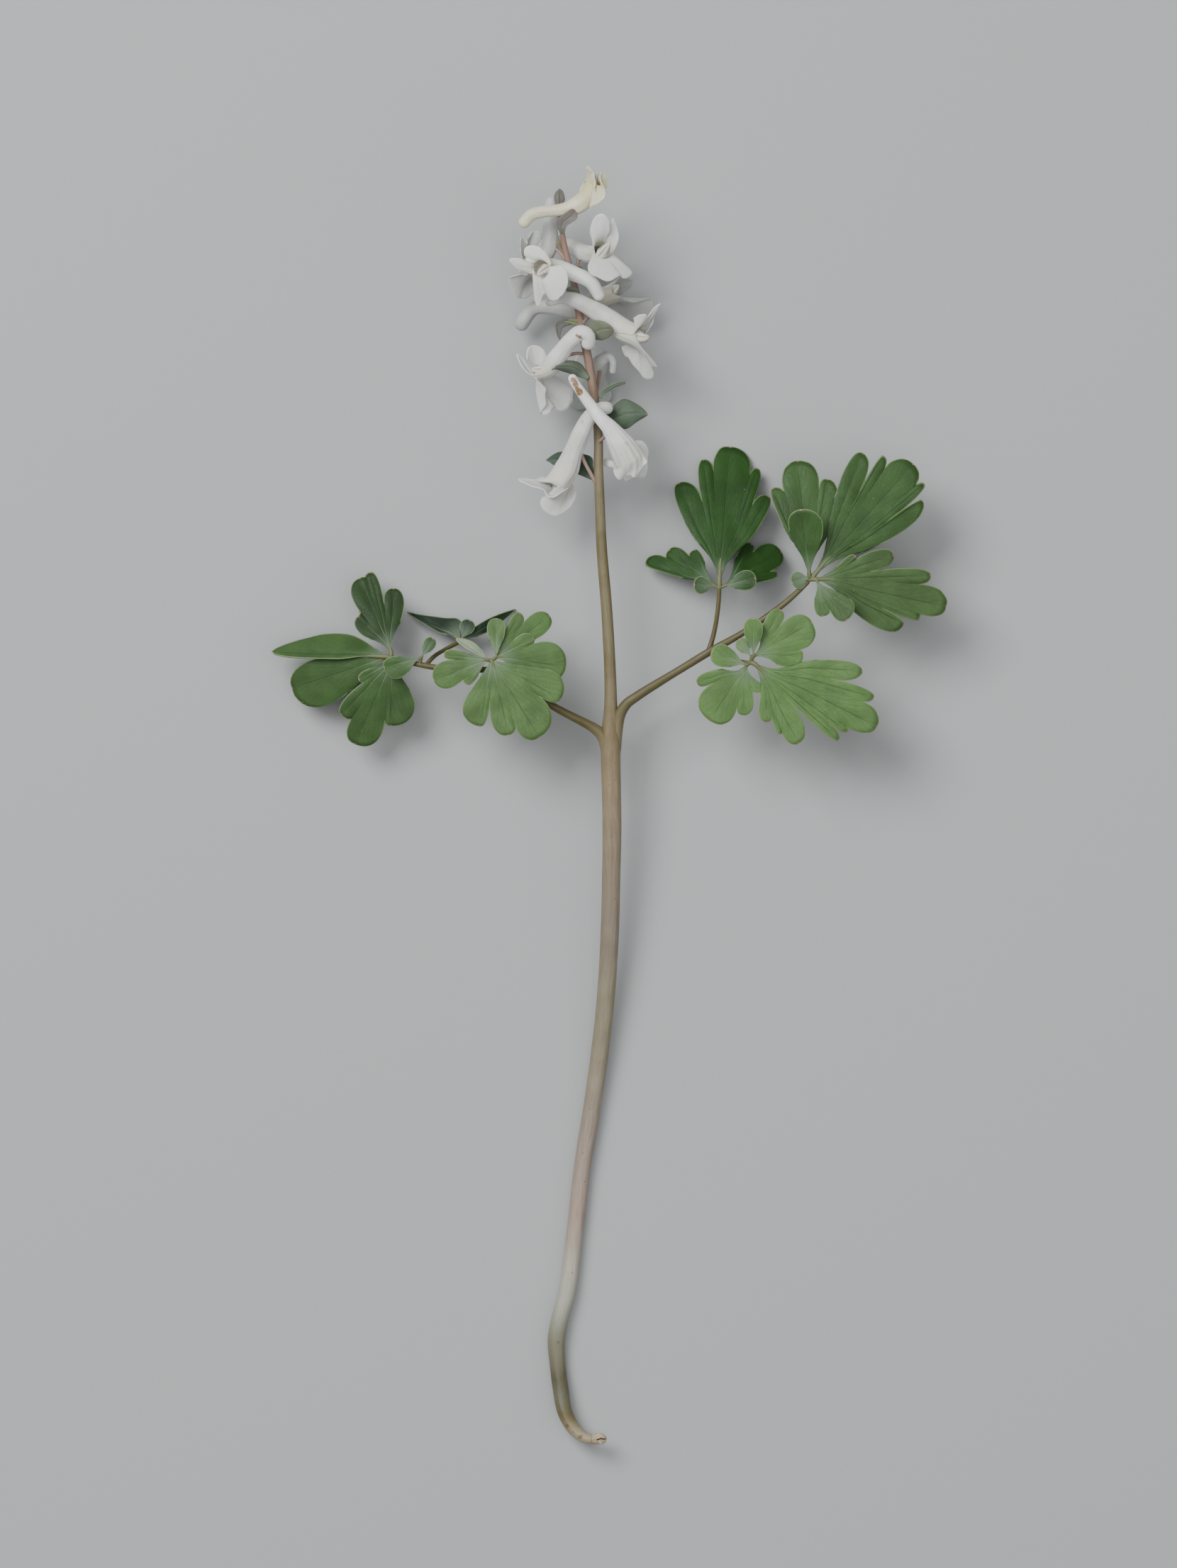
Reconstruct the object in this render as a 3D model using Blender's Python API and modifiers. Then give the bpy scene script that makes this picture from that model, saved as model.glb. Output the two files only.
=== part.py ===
# A cut corydalis stem lying on its back: one hollowroot shoot with ten white spurred flowers
# and two compound leaves. Millimetres are used in the tables below and turned to metres by MM.
import math

import bmesh
import bpy
from mathutils import Vector

MM = 0.001
GAP = 0.3                    # clearance between neighbouring pieces
LEAF_THICKNESS = 0.32
BRACT_THICKNESS = 0.3
PETAL_THICKNESS = 0.36
STEM_RADIUS = 1.8            # below the leaf node
KNOB_RADIUS = 0.62           # swelling at the base of a divided leaflet
TUBE_SIDES = 8
APEX_SHIFT = 0.3             # how far a blade's point reaches back into the swelling it grows from
RING_HALF = 5                # points on the outer half of a petal's cross section
MERGE = 0.00001
SINUS_SHARE = 0.66           # a notch between lobes, as a share of the shorter lobe
EDGE_SHARE = 0.25            # where a blade's outer edges start, as a share of the lobe
LOBE_ROUNDNESS = 2.0 / 3.2
LEAF_SAMPLES = 6             # outline points on one leaf lobe
BRACT_SAMPLES = 8
BLADE_RINGS = 2
NOTCH_SHARE = 0.16           # depth of the notch between a lip's two lobes
LOBE_SPREAD = 0.16           # how far a lip's side corners stand out
CORNER_SHARE = 0.24          # how far the side corners lie back towards the mouth
FLARE_REACH = 0.35           # length of the straight throat before a lip turns out
LIP_STEPS = 3
SPUR_TIP_SCALE = 0.45
SPUR_TIP_REACH = 0.75
INNER_PETALS = [(0.28, -1.6), (0.46, -0.4), (0.46, 1.2), (0.16, 2.5)]   # scale, place along

GREEN = (0.085, 0.155, 0.055)
DEEP_GREEN = (0.045, 0.095, 0.035)
STEM_TAN = (0.30, 0.24, 0.16)
PETAL_WHITE = (0.78, 0.78, 0.74)
INNER_CREAM = (0.76, 0.72, 0.50)
BRACT_GREY = (0.16, 0.20, 0.13)

# The main stem from its tip to the cut end: x, y, z and radius.
STEM = [
    (-8.7, 114.4, 17.6, 0.42), (-8.9, 112.4, 15.8, 0.48), (-8.2, 108.4, 14.6, 0.62),
    (-6.3, 101.0, 14.2, 0.72), (-5.1, 93.3, 14.0, 0.82), (-3.7, 86.8, 14.0, 0.86),
    (-2.0, 74.6, 13.8, 0.90), (-1.8, 65.0, 13.6, 0.94), (-1.3, 50.7, 13.3, 1.05),
    (-0.5, 38.4, 12.9, 1.14), (0.2, 26.2, 12.4, 1.22), (0.5, 18.4, 11.9, 1.45),
    (0.6, 13.0, 11.4, 1.75), (0.6, 0.0, 10.0, STEM_RADIUS), (0.6, -12.0, 8.4, STEM_RADIUS),
    (0.3, -26.1, 6.2, STEM_RADIUS), (-0.5, -38.3, 4.3, 1.78), (-1.9, -50.6, 2.7, 1.74),
    (-3.5, -61.3, 1.9, 1.70), (-5.2, -72.1, 1.66, 1.64), (-6.4, -82.7, 1.62, 1.60),
    (-7.8, -94.0, 1.66, 1.62), (-9.2, -99.6, 1.70, 1.66), (-10.1, -104.6, 1.72, 1.68),
    (-9.9, -109.0, 1.86, 1.62), (-9.3, -114.0, 2.5, 1.50), (-8.4, -119.0, 3.6, 1.42),
    (-6.6, -122.0, 4.4, 1.40), (-3.9, -123.6, 5.0, 1.32), (-0.9, -123.7, 5.4, 1.12)]

# Flower stalks, each from inside the main stem to just short of its flower's tube.
PEDICELS = [
    [(-8.8, 107.6, 14.5, 0.34), (-9.4, 108.6, 14.1, 0.30)],
    [(-6.4, 101.4, 14.4, 0.36), (-6.9, 102.6, 15.4, 0.34), (-7.5, 103.5, 16.3, 0.36)],
    [(-6.9, 103.6, 13.9, 0.34), (-6.4, 105.2, 12.9, 0.32), (-5.9, 106.4, 12.2, 0.34)],
    [(-5.8, 97.6, 13.8, 0.36), (-6.0, 97.7, 11.8, 0.34), (-6.1, 97.6, 10.0, 0.36)],
    [(-5.2, 94.4, 14.3, 0.36), (-4.2, 95.4, 15.0, 0.34), (-3.2, 96.2, 15.9, 0.36)],
    [(-4.1, 88.6, 14.1, 0.36), (-6.0, 88.8, 13.7, 0.34), (-7.9, 88.4, 14.0, 0.36)],
    [(-2.6, 79.6, 13.6, 0.38), (-2.2, 81.6, 12.4, 0.34), (-1.8, 84.0, 10.6, 0.36)],
    [(-1.9, 66.2, 13.7, 0.40), (-3.2, 67.6, 14.0, 0.36), (-4.6, 69.1, 14.4, 0.38)],
    [(-1.9, 71.4, 14.2, 0.38), (-0.9, 72.2, 15.6, 0.34), (0.0, 73.0, 16.9, 0.36)]]

RIGHT_STALK = {
    "main": [(3.1, 18.5, 12.4, 1.10), (5.0, 20.6, 12.9, 0.95), (8.4, 23.0, 13.9, 0.85),
             (14.5, 27.2, 15.8, 0.75), (19.8, 30.5, 17.0, 0.78), (26.8, 34.5, 17.3, 0.62),
             (34.4, 39.9, 17.8, 0.58), (37.8, 42.9, 18.1, 0.52)],
    "upper": [(19.6, 30.6, 16.9, 0.55), (20.6, 34.0, 15.8, 0.48), (21.4, 38.4, 13.2, 0.44),
              (21.7, 42.4, 11.2, 0.42)],
    "lower": [(19.6, 30.3, 17.0, 0.55), (23.2, 29.2, 17.8, 0.50), (26.4, 28.5, 18.6, 0.46)]}
LEFT_STALK = {
    "main": [(-1.9, 15.2, 12.2, 1.15), (-5.3, 17.6, 13.0, 0.85), (-10.6, 19.8, 14.2, 0.75),
             (-17.0, 23.8, 15.2, 0.70), (-22.0, 26.6, 15.1, 0.66), (-27.4, 27.1, 14.4, 0.60),
             (-33.2, 27.4, 13.2, 0.58), (-38.0, 28.3, 12.0, 0.54), (-41.4, 29.1, 11.1, 0.50)],
    "upper": [(-21.0, 26.2, 15.0, 0.50), (-22.0, 27.4, 16.4, 0.46), (-22.5, 28.2, 17.5, 0.44)],
    "lower": [(-35.6, 27.9, 12.7, 0.48), (-33.6, 30.0, 10.2, 0.42), (-30.0, 32.0, 7.5, 0.40)]}

# Leaf blades. Each blade fans out from its base: slope is its fall along x and y, droop bends
# it down with distance, and a lobe is its direction in degrees, its length and its half width.
BLADES = {
    "leaf_a_middle": [
        {"base": (21.8, 44.5, 11.0), "slope": (0.0, -0.27), "droop": 0.0048,
         "lobes": [(60, 19.5, 12), (71, 23.7, 9), (85, 26.7, 9), (97, 24.3, 9), (112, 21.1, 13)]}],
    "leaf_a_left": [
        {"base": (20.7, 43.6, 10.6), "slope": (0.34, -0.42), "droop": 0.004,
         "lobes": [(125, 8.6, 11), (143, 11.1, 12), (163, 14.5, 13)]},
        {"base": (20.7, 43.5, 11.0), "slope": (-0.35, 0.0), "droop": 0.0,
         "lobes": [(178, 4.0, 38)]}],
    "leaf_a_right": [
        {"base": (22.9, 43.6, 10.6), "slope": (-0.34, -0.42), "droop": 0.004,
         "lobes": [(9, 11.0, 12), (30, 13.4, 13), (54, 10.0, 12)]},
        {"base": (22.9, 43.5, 11.0), "slope": (0.32, 0.0), "droop": 0.0,
         "lobes": [(2, 6.4, 26)]}],
    "leaf_b_left": [
        {"base": (39.2, 45.2, 18.6), "slope": (0.10, -0.12), "droop": 0.002,
         "lobes": [(84, 19.2, 8), (100, 22.8, 12), (116, 19.2, 11)]},
        {"base": (39.2, 45.3, 19.0), "slope": (0.0, 0.20), "droop": -0.004,
         "lobes": [(101, 12.8, 15)]},
        {"base": (39.1, 45.1, 18.8), "slope": (0.0, 0.0), "droop": 0.0,
         "lobes": [(-168, 3.4, 40)]}],
    "leaf_b_middle": [
        {"base": (40.3, 45.6, 18.4), "slope": (-0.05, -0.06), "droop": 0.001,
         "lobes": [(36, 26.0, 8), (44, 28.6, 6), (53, 29.4, 8), (63, 27.0, 5), (70, 25.6, 9)]}],
    "leaf_b_right": [
        {"base": (40.6, 44.6, 18.6), "slope": (-0.10, 0.10), "droop": 0.001,
         "lobes": [(-27, 19.5, 10), (-13, 26.0, 10), (1, 22.4, 9), (15, 15.6, 10), (29, 8.4, 11)]},
        {"base": (40.6, 44.4, 19.0), "slope": (0.12, -0.10), "droop": 0.0,
         "lobes": [(-76, 7.2, 20), (-52, 10.0, 19)]}],
    "leaf_c_middle": [
        {"base": (28.6, 28.0, 20.0), "slope": (-0.02, 0.02), "droop": 0.001,
         "lobes": [(-74, 11.4, 8), (-68, 14.2, 6), (-58, 17.2, 9), (-41, 22.0, 11),
                   (-26, 26.6, 10), (-14, 24.2, 8), (-4, 21.2, 9)]}],
    "leaf_c_left": [
        {"base": (27.0, 27.8, 19.6), "slope": (0.06, 0.10), "droop": 0.002,
         "lobes": [(-155, 9.8, 20), (-122, 12.8, 17), (-94, 9.8, 12), (-72, 6.4, 10)]},
        {"base": (27.0, 27.9, 20.0), "slope": (-0.10, 0.0), "droop": 0.0,
         "lobes": [(160, 7.2, 22)]}],
    "leaf_c_right": [
        {"base": (28.3, 29.5, 20.1), "slope": (-0.06, -0.02), "droop": 0.001,
         "lobes": [(8, 9.4, 13), (33, 13.0, 14), (60, 10.4, 15)]},
        {"base": (28.3, 29.6, 20.5), "slope": (0.0, 0.22), "droop": 0.0,
         "lobes": [(92, 7.4, 26)]},
        {"base": (27.9, 29.5, 19.8), "slope": (0.10, -0.08), "droop": 0.0,
         "lobes": [(128, 4.6, 24)]}],
    "leaf_d_middle": [
        {"base": (-22.7, 28.2, 18.6), "slope": (-0.02, 0.03), "droop": 0.001,
         "lobes": [(-95, 12.4, 15), (-76, 14.6, 9), (-56, 17.4, 13), (-33, 15.2, 13)]}],
    "leaf_d_left": [
        {"base": (-23.7, 28.9, 18.3), "slope": (0.14, 0.08), "droop": 0.002,
         "lobes": [(-183, 8.4, 15), (-158, 10.6, 17), (-136, 6.4, 9)]},
        {"base": (-23.7, 29.0, 18.7), "slope": (-0.05, -0.42), "droop": 0.0,
         "lobes": [(148, 6.6, 14)]}],
    "leaf_d_right": [
        {"base": (-21.7, 29.4, 18.2), "slope": (-0.10, 0.06), "droop": 0.002,
         "lobes": [(-9, 13.4, 17), (24, 8.6, 19)]},
        {"base": (-21.7, 29.5, 17.9), "slope": (-0.16, -0.34), "droop": 0.0,
         "lobes": [(36, 12.8, 12), (56, 9.6, 12)]},
        {"base": (-21.8, 29.6, 18.5), "slope": (0.0, -0.28), "droop": 0.0,
         "lobes": [(84, 7.4, 20)]}],
    "leaf_e_left": [
        {"base": (-43.4, 29.6, 10.8), "slope": (0.06, -0.75), "droop": 0.004,
         "lobes": [(157, 10.0, 9), (177, 22.6, 5)]},
        {"base": (-43.4, 29.4, 10.4), "slope": (0.10, 0.12), "droop": 0.005,
         "lobes": [(-164, 19.6, 15)]}],
    "leaf_e_middle": [
        {"base": (-42.3, 28.2, 10.8), "slope": (-0.10, 0.16), "droop": 0.003,
         "lobes": [(-148, 7.0, 11), (-129, 14.6, 7), (-115, 17.6, 10), (-91, 12.8, 13)]}],
    "leaf_e_upper": [
        {"base": (-42.4, 30.6, 10.4), "slope": (-0.06, -0.22), "droop": 0.004,
         "lobes": [(91, 12.2, 14), (107, 15.8, 7), (117, 15.6, 8), (142, 8.8, 9)]}],
    "leaf_e_small": [
        {"base": (-36.6, 29.4, 13.2), "slope": (0.05, 0.0), "droop": 0.0,
         "lobes": [(-172, 7.4, 18)]},
        {"base": (-36.4, 29.5, 13.0), "slope": (0.0, 0.15), "droop": 0.0,
         "lobes": [(55, 4.8, 18)]}],
    "leaf_f": [
        {"base": (-28.8, 32.9, 6.9), "slope": (0.22, -0.42), "droop": 0.006,
         "lobes": [(152, 12.4, 14)]},
        {"base": (-28.7, 33.0, 7.2), "slope": (0.0, -0.40), "droop": 0.0,
         "lobes": [(70, 4.2, 26)]},
        {"base": (-28.6, 32.8, 6.7), "slope": (-0.30, -0.40), "droop": 0.004,
         "lobes": [(31, 12.4, 8)]}]}

# Bracts, one beside each flower stalk, as blades with a single lobe.
BRACTS = {
    "bract_01": {"base": (-9.4, 115.2, 15.7), "slope": (0.12, -0.04), "lobes": [(91, 6.4, 20)]},
    "bract_02": {"base": (-7.7, 113.4, 17.6), "slope": (0.2, 1.5), "lobes": [(52, 3.6, 34)]},
    "bract_03": {"base": (-5.5, 103.8, 13.0), "slope": (-0.4, 0.0), "lobes": [(28, 3.2, 36)]},
    "bract_04": {"base": (-7.6, 100.9, 14.8), "slope": (-0.2, 0.0), "lobes": [(170, 2.4, 34)]},
    "bract_05": {"base": (-6.5, 93.9, 14.2), "slope": (-0.1, 0.0), "lobes": [(-168, 4.0, 36)]},
    "bract_06": {"base": (-3.3, 91.4, 14.9), "slope": (1.0, 0.72), "lobes": [(38, 5.3, 34)]},
    "bract_07": {"base": (-5.0, 84.2, 15.5), "slope": (-0.40, 0.0), "lobes": [(171, 6.2, 28)]},
    "bract_08": {"base": (-1.2, 80.0, 14.0), "slope": (0.1, 0.1), "lobes": [(34, 5.6, 17)]},
    "bract_09": {"base": (-0.6, 75.0, 14.0), "slope": (0.2, 0.0), "lobes": [(12, 8.4, 30)]},
    "bract_10": {"base": (-3.3, 64.7, 12.4), "slope": (0.32, 0.0), "lobes": [(162, 9.2, 26)]}}

# Flowers from the top down. spine runs from the spur's tip to the mouth as x, y, z and radius;
# joint is the spine point above the flower stalk, where the lower petal begins; up points to
# the upper lip; each lip is given by the tips of its two lobes.
FLOWERS = [
    {"spine": [(-16.3, 113.9, 19.4, 1.25), (-14.4, 115.9, 19.8, 1.2), (-9.4, 116.5, 20.0, 1.1),
               (-6.6, 117.0, 20.0, 1.5), (-3.8, 119.0, 20.0, 1.7), (-2.8, 121.2, 20.2, 1.5)],
     "joint": 3, "up": (-0.8, 0.6, 0.0),
     "upper": [(-4.4, 124.9, 22.0), (-4.8, 122.9, 17.8)],
     "lower": [(-1.2, 124.2, 21.4), (-0.1, 121.3, 17.4)]},
    {"spine": [(-11.0, 118.2, 12.8, 1.15), (-11.2, 115.0, 13.0, 1.35), (-11.3, 111.6, 13.0, 1.35),
               (-11.6, 109.2, 12.8, 1.45), (-13.2, 107.3, 12.4, 1.6), (-15.2, 106.0, 12.0, 1.7)],
     "joint": 3, "up": (-0.8, 0.5, 0.0),
     "upper": [(-14.2, 112.8, 9.6), (-17.2, 111.0, 13.4)],
     "lower": [(-19.3, 103.1, 9.8), (-18.0, 100.0, 13.4)]},
    {"spine": [(-1.7, 99.9, 17.4, 1.3), (-3.4, 102.5, 18.0, 1.35), (-6.6, 104.1, 18.2, 1.35),
               (-9.6, 105.1, 18.6, 1.5), (-12.0, 105.2, 20.0, 1.7), (-12.9, 104.9, 21.6, 1.7)],
     "joint": 3, "up": (-0.2, 1.0, 0.0),
     "upper": [(-18.9, 106.6, 21.6), (-14.4, 109.2, 22.2)],
     "lower": [(-8.9, 99.2, 22.0), (-13.2, 97.2, 20.6)]},
    {"spine": [(-10.2, 111.0, 9.6, 1.2), (-8.0, 110.2, 9.9, 1.3), (-5.9, 109.2, 10.8, 1.4),
               (-4.0, 108.2, 12.6, 1.6), (-2.2, 108.0, 15.6, 1.7), (-1.2, 108.6, 18.4, 1.7)],
     "joint": 2, "up": (0.0, 1.0, 0.2),
     "upper": [(-2.4, 115.2, 21.2), (1.0, 115.0, 19.4)],
     "lower": [(-0.8, 102.8, 20.4), (4.9, 104.2, 17.2)]},
    {"spine": [(-16.8, 94.9, 5.0, 1.35), (-14.5, 98.0, 5.8, 1.35), (-10.7, 98.2, 7.0, 1.35),
               (-6.0, 97.6, 8.0, 1.5), (-2.2, 99.4, 8.4, 1.8), (0.6, 100.6, 8.4, 1.8)],
     "joint": 3, "up": (-0.1, 1.0, 0.0),
     "upper": [(3.6, 104.4, 9.0), (4.6, 103.6, 4.6)],
     "lower": [(9.0, 98.8, 8.4), (5.4, 95.8, 3.2)]},
    {"spine": [(-11.0, 97.9, 16.9, 1.15), (-8.7, 98.9, 17.3, 1.3), (-3.8, 98.0, 18.0, 1.4),
               (-0.6, 96.4, 18.0, 1.6), (3.2, 94.4, 18.0, 1.8), (5.6, 93.0, 18.2, 1.8)],
     "joint": 3, "up": (0.4, 0.9, 0.1),
     "upper": [(10.2, 98.2, 19.6), (6.4, 97.6, 15.8)],
     "lower": [(7.8, 83.6, 14.2), (9.9, 86.4, 17.0)]},
    {"spine": [(-3.9, 90.6, 17.7, 1.2), (-3.9, 92.0, 18.2, 1.25), (-5.4, 92.6, 18.2, 1.35),
               (-7.4, 91.0, 17.6, 1.4), (-9.6, 88.2, 15.9, 1.6), (-11.4, 86.2, 13.9, 1.8),
               (-13.2, 85.6, 12.6, 1.7)],
     "joint": 4, "up": (-0.5, 0.8, 0.3),
     "upper": [(-14.0, 90.8, 8.8), (-17.8, 89.2, 12.6)],
     "lower": [(-13.4, 77.4, 10.6), (-8.4, 78.0, 6.6)]},
    {"spine": [(0.9, 85.6, 11.2, 1.0), (1.0, 87.7, 11.6, 1.05), (-0.1, 88.5, 11.3, 1.2),
               (-1.4, 87.6, 9.8, 1.5), (-1.9, 86.4, 7.6, 1.6), (-2.2, 85.6, 5.2, 1.6)],
     "joint": 3, "up": (0.0, 1.0, 0.0),
     "upper": [(-6.0, 90.0, 2.4), (0.8, 90.6, 2.2)],
     "lower": [(-5.4, 81.6, 0.9), (0.6, 80.6, 0.5)]},
    {"spine": [(0.5, 78.0, 16.6, 1.3), (-1.3, 78.0, 17.2, 1.35), (-3.6, 76.2, 17.0, 1.35),
               (-5.5, 72.8, 16.4, 1.5), (-7.1, 69.2, 15.4, 1.7), (-8.7, 65.8, 14.4, 2.0),
               (-10.4, 63.4, 13.8, 1.9)],
     "joint": 4, "up": (-0.85, 0.5, 0.1),
     "upper": [(-17.6, 64.2, 12.2), (-16.8, 64.4, 16.6)],
     "lower": [(-7.4, 59.2, 11.0), (-12.6, 57.8, 15.4)]},
    {"spine": [(-6.9, 83.6, 20.6, 0.7), (-5.9, 81.9, 20.6, 0.75), (-2.0, 76.5, 20.1, 1.0),
               (0.4, 73.9, 19.2, 1.4), (2.2, 71.2, 17.6, 1.9), (3.6, 68.9, 15.8, 2.0)],
     "joint": 3, "up": (0.2, 0.2, 1.0),
     "upper": [(7.9, 67.8, 15.6), (2.4, 64.4, 14.2)],
     "lower": [(8.0, 67.0, 8.4), (-1.2, 67.2, 9.2)]}]


def metres(point):
    return Vector(point[:3]) * MM


def finish(name, colour, roughness, collection):
    """A Principled material for one object, and its place in the collection."""
    piece = bpy.data.objects[name]
    material = bpy.data.materials.new(name)
    material.use_nodes = True
    shader = material.node_tree.nodes["Principled BSDF"]
    shader.inputs["Base Color"].default_value = (*colour, 1.0)
    shader.inputs["Roughness"].default_value = roughness
    shader.inputs["Metallic"].default_value = 0.0
    piece.data.materials.append(material)
    collection.objects.link(piece)
    return piece


def tube(name, points):
    """A closed mesh tube of changing radius, made from a bevelled curve."""
    curve = bpy.data.curves.new(name, "CURVE")
    curve.dimensions = "3D"
    curve.bevel_depth = MM
    curve.bevel_resolution = (TUBE_SIDES - 4) // 2
    curve.use_fill_caps = True
    spline = curve.splines.new("POLY")
    spline.points.add(len(points) - 1)
    for target, point in zip(spline.points, points):
        target.co = (*metres(point), 1.0)
        target.radius = point[3]
    guide = bpy.data.objects.new(name + "_guide", curve)
    bpy.context.scene.collection.objects.link(guide)
    view = bpy.context.evaluated_depsgraph_get()
    mesh = bpy.data.meshes.new_from_object(guide.evaluated_get(view))
    bpy.data.objects.remove(guide)
    shape = bmesh.new()
    shape.from_mesh(mesh)
    bmesh.ops.remove_doubles(shape, verts=shape.verts, dist=MERGE)
    shape.to_mesh(mesh)
    shape.free()
    mesh.shade_smooth()
    return bpy.data.objects.new(name, mesh)


def joined(name, shapes, solver="EXACT"):
    """One closed body from several that overlap."""
    whole = shapes[0]
    whole.name = name
    scene_objects = bpy.context.scene.collection.objects
    for cutter in shapes:
        scene_objects.link(cutter)
    for cutter in shapes[1:]:
        union = whole.modifiers.new("join", "BOOLEAN")
        union.operation = "UNION"
        union.solver = solver
        union.object = cutter
    view = bpy.context.evaluated_depsgraph_get()
    mesh = bpy.data.meshes.new_from_object(whole.evaluated_get(view))
    for cutter in shapes:
        bpy.data.objects.remove(cutter)
    return bpy.data.objects.new(name, mesh)


def lobe_outline(lobes, samples):
    """Directions in radians and radii around a fan of rounded lobes with narrow sinuses."""
    outline = []
    last = len(lobes) - 1
    for i, (angle, length, half) in enumerate(lobes):
        low, high = angle - half, angle + half
        low_radius = high_radius = length * EDGE_SHARE
        if i > 0:
            before = lobes[i - 1]
            share = before[2] / (before[2] + half)
            low = before[0] + (angle - before[0]) * share
            low_radius = SINUS_SHARE * min(before[1], length)
        if i < last:
            after = lobes[i + 1]
            share = half / (half + after[2])
            high = angle + (after[0] - angle) * share
            high_radius = SINUS_SHARE * min(after[1], length)
        for k in range(samples + 1):
            turn = math.pi * (k / samples - 0.5)
            if i > 0 and k == 0:
                continue
            side = math.copysign(abs(math.sin(turn)) ** LOBE_ROUNDNESS, turn)
            edge = (high, high_radius) if side > 0 else (low, low_radius)
            direction = angle + (edge[0] - angle) * abs(side)
            radius = edge[1] + (length - edge[1]) * abs(math.cos(turn))
            outline.append((math.radians(direction), radius))
    return outline


def blade(name, plan, thickness, samples):
    """A thin closed leaf blade that fans out from its base and droops with distance."""
    base = Vector(plan["base"])
    shape = bmesh.new()
    outline = lobe_outline(plan["lobes"], samples)
    middle = 0.5 * (outline[0][0] + outline[-1][0])
    behind = Vector((math.cos(middle), math.sin(middle), 0.0)) * APEX_SHIFT
    centre = shape.verts.new(metres(base - behind))
    rows = []
    for ring in range(1, BLADE_RINGS + 1):
        reach = ring / BLADE_RINGS
        row = []
        for direction, radius in outline:
            along = radius * reach
            offset = Vector((math.cos(direction) * along, math.sin(direction) * along, 0.0))
            offset.z = (plan["slope"][0] * offset.x + plan["slope"][1] * offset.y
                        - plan.get("droop", 0.0) * along * along)
            row.append(shape.verts.new(metres(base + offset)))
        rows.append(row)
    for i in range(len(outline) - 1):
        shape.faces.new((centre, rows[0][i], rows[0][i + 1]))
        for near, far in zip(rows, rows[1:]):
            shape.faces.new((near[i], far[i], far[i + 1], near[i + 1]))
    bmesh.ops.recalc_face_normals(shape, faces=shape.faces)
    mesh = bpy.data.meshes.new(name)
    shape.to_mesh(mesh)
    shape.free()
    sheet = bpy.data.objects.new(name, mesh)
    wall = sheet.modifiers.new("thickness", "SOLIDIFY")
    wall.thickness = thickness * MM
    wall.offset = 0.0
    return sheet


def applied(sheet):
    """The same object with its modifiers applied, so that it can be joined to others."""
    bpy.context.scene.collection.objects.link(sheet)
    view = bpy.context.evaluated_depsgraph_get()
    mesh = bpy.data.meshes.new_from_object(sheet.evaluated_get(view))
    name = sheet.name
    bpy.data.objects.remove(sheet)
    return bpy.data.objects.new(name, mesh)


def knob(name, place, radius):
    """The small swelling where several blades grow from one point."""
    mesh = bpy.data.meshes.new(name)
    shape = bmesh.new()
    bmesh.ops.create_icosphere(shape, subdivisions=1, radius=radius * MM)
    bmesh.ops.translate(shape, verts=shape.verts, vec=metres(place))
    shape.to_mesh(mesh)
    shape.free()
    return bpy.data.objects.new(name, mesh)


def leaflet(name, plans):
    """One leaflet: a single blade, or several blades joined at their common base."""
    sheets = [blade(name, plan, LEAF_THICKNESS, LEAF_SAMPLES) for plan in plans]
    if len(sheets) == 1:
        return sheets[0]
    swelling = knob(name, plans[0]["base"], KNOB_RADIUS)
    return joined(name, [swelling] + [applied(sheet) for sheet in sheets], "MANIFOLD")


def loft(name, rings):
    """A closed body through rings of equal point count, both ends closed by strips."""
    shape = bmesh.new()
    rows = [[shape.verts.new(metres(point)) for point in ring] for ring in rings]
    count = len(rings[0])
    for near, far in zip(rows, rows[1:]):
        for i in range(count):
            j = (i + 1) % count
            shape.faces.new((near[i], near[j], far[j], far[i]))
    for row in (rows[0][::-1], rows[-1]):
        for i in range(count // 2 - 1):
            j = count - 1 - i
            shape.faces.new((row[i], row[i + 1], row[j - 1], row[j]))
    bmesh.ops.triangulate(shape, faces=shape.faces)
    bmesh.ops.recalc_face_normals(shape, faces=shape.faces)
    if shape.calc_volume(signed=True) < 0.0:
        bmesh.ops.reverse_faces(shape, faces=shape.faces)
    mesh = bpy.data.meshes.new(name)
    shape.to_mesh(mesh)
    shape.free()
    mesh.shade_smooth()
    return bpy.data.objects.new(name, mesh)


def frames(spine, up):
    """At each spine point: its place, radius, forward, upward and sideways directions."""
    places = [Vector(p[:3]) for p in spine]
    result = []
    for i, place in enumerate(places):
        forward = (places[min(i + 1, len(places) - 1)] - places[max(i - 1, 0)]).normalized()
        upward = (up - forward * up.dot(forward)).normalized()
        result.append((place, spine[i][3], forward, upward, forward.cross(upward)))
    return result


def round_ring(frame, scale, shift):
    """A full circle, its upper row first and its lower row back again."""
    place, radius, forward, upward, sideways = frame
    ring = []
    for k in range(2 * RING_HALF):
        turn = math.pi * (k + 0.5) / RING_HALF
        ring.append(place + forward * shift + (sideways * math.cos(turn)
                                               + upward * math.sin(turn)) * radius * scale)
    return ring


def shell_ring(frame, sign):
    """The upper (sign 1) or lower (sign -1) half of the tube as a thin wall."""
    place, radius, _forward, upward, sideways = frame
    outer = []
    inner = []
    lowest = math.asin(GAP / radius)
    for k in range(RING_HALF):
        turn = lowest + (math.pi - 2 * lowest) * k / (RING_HALF - 1)
        direction = sideways * math.cos(turn) + upward * math.sin(turn) * sign
        outer.append(place + direction * radius)
        inner.append(place + direction * radius - direction * PETAL_THICKNESS)
    return outer + list(reversed(inner))


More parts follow.
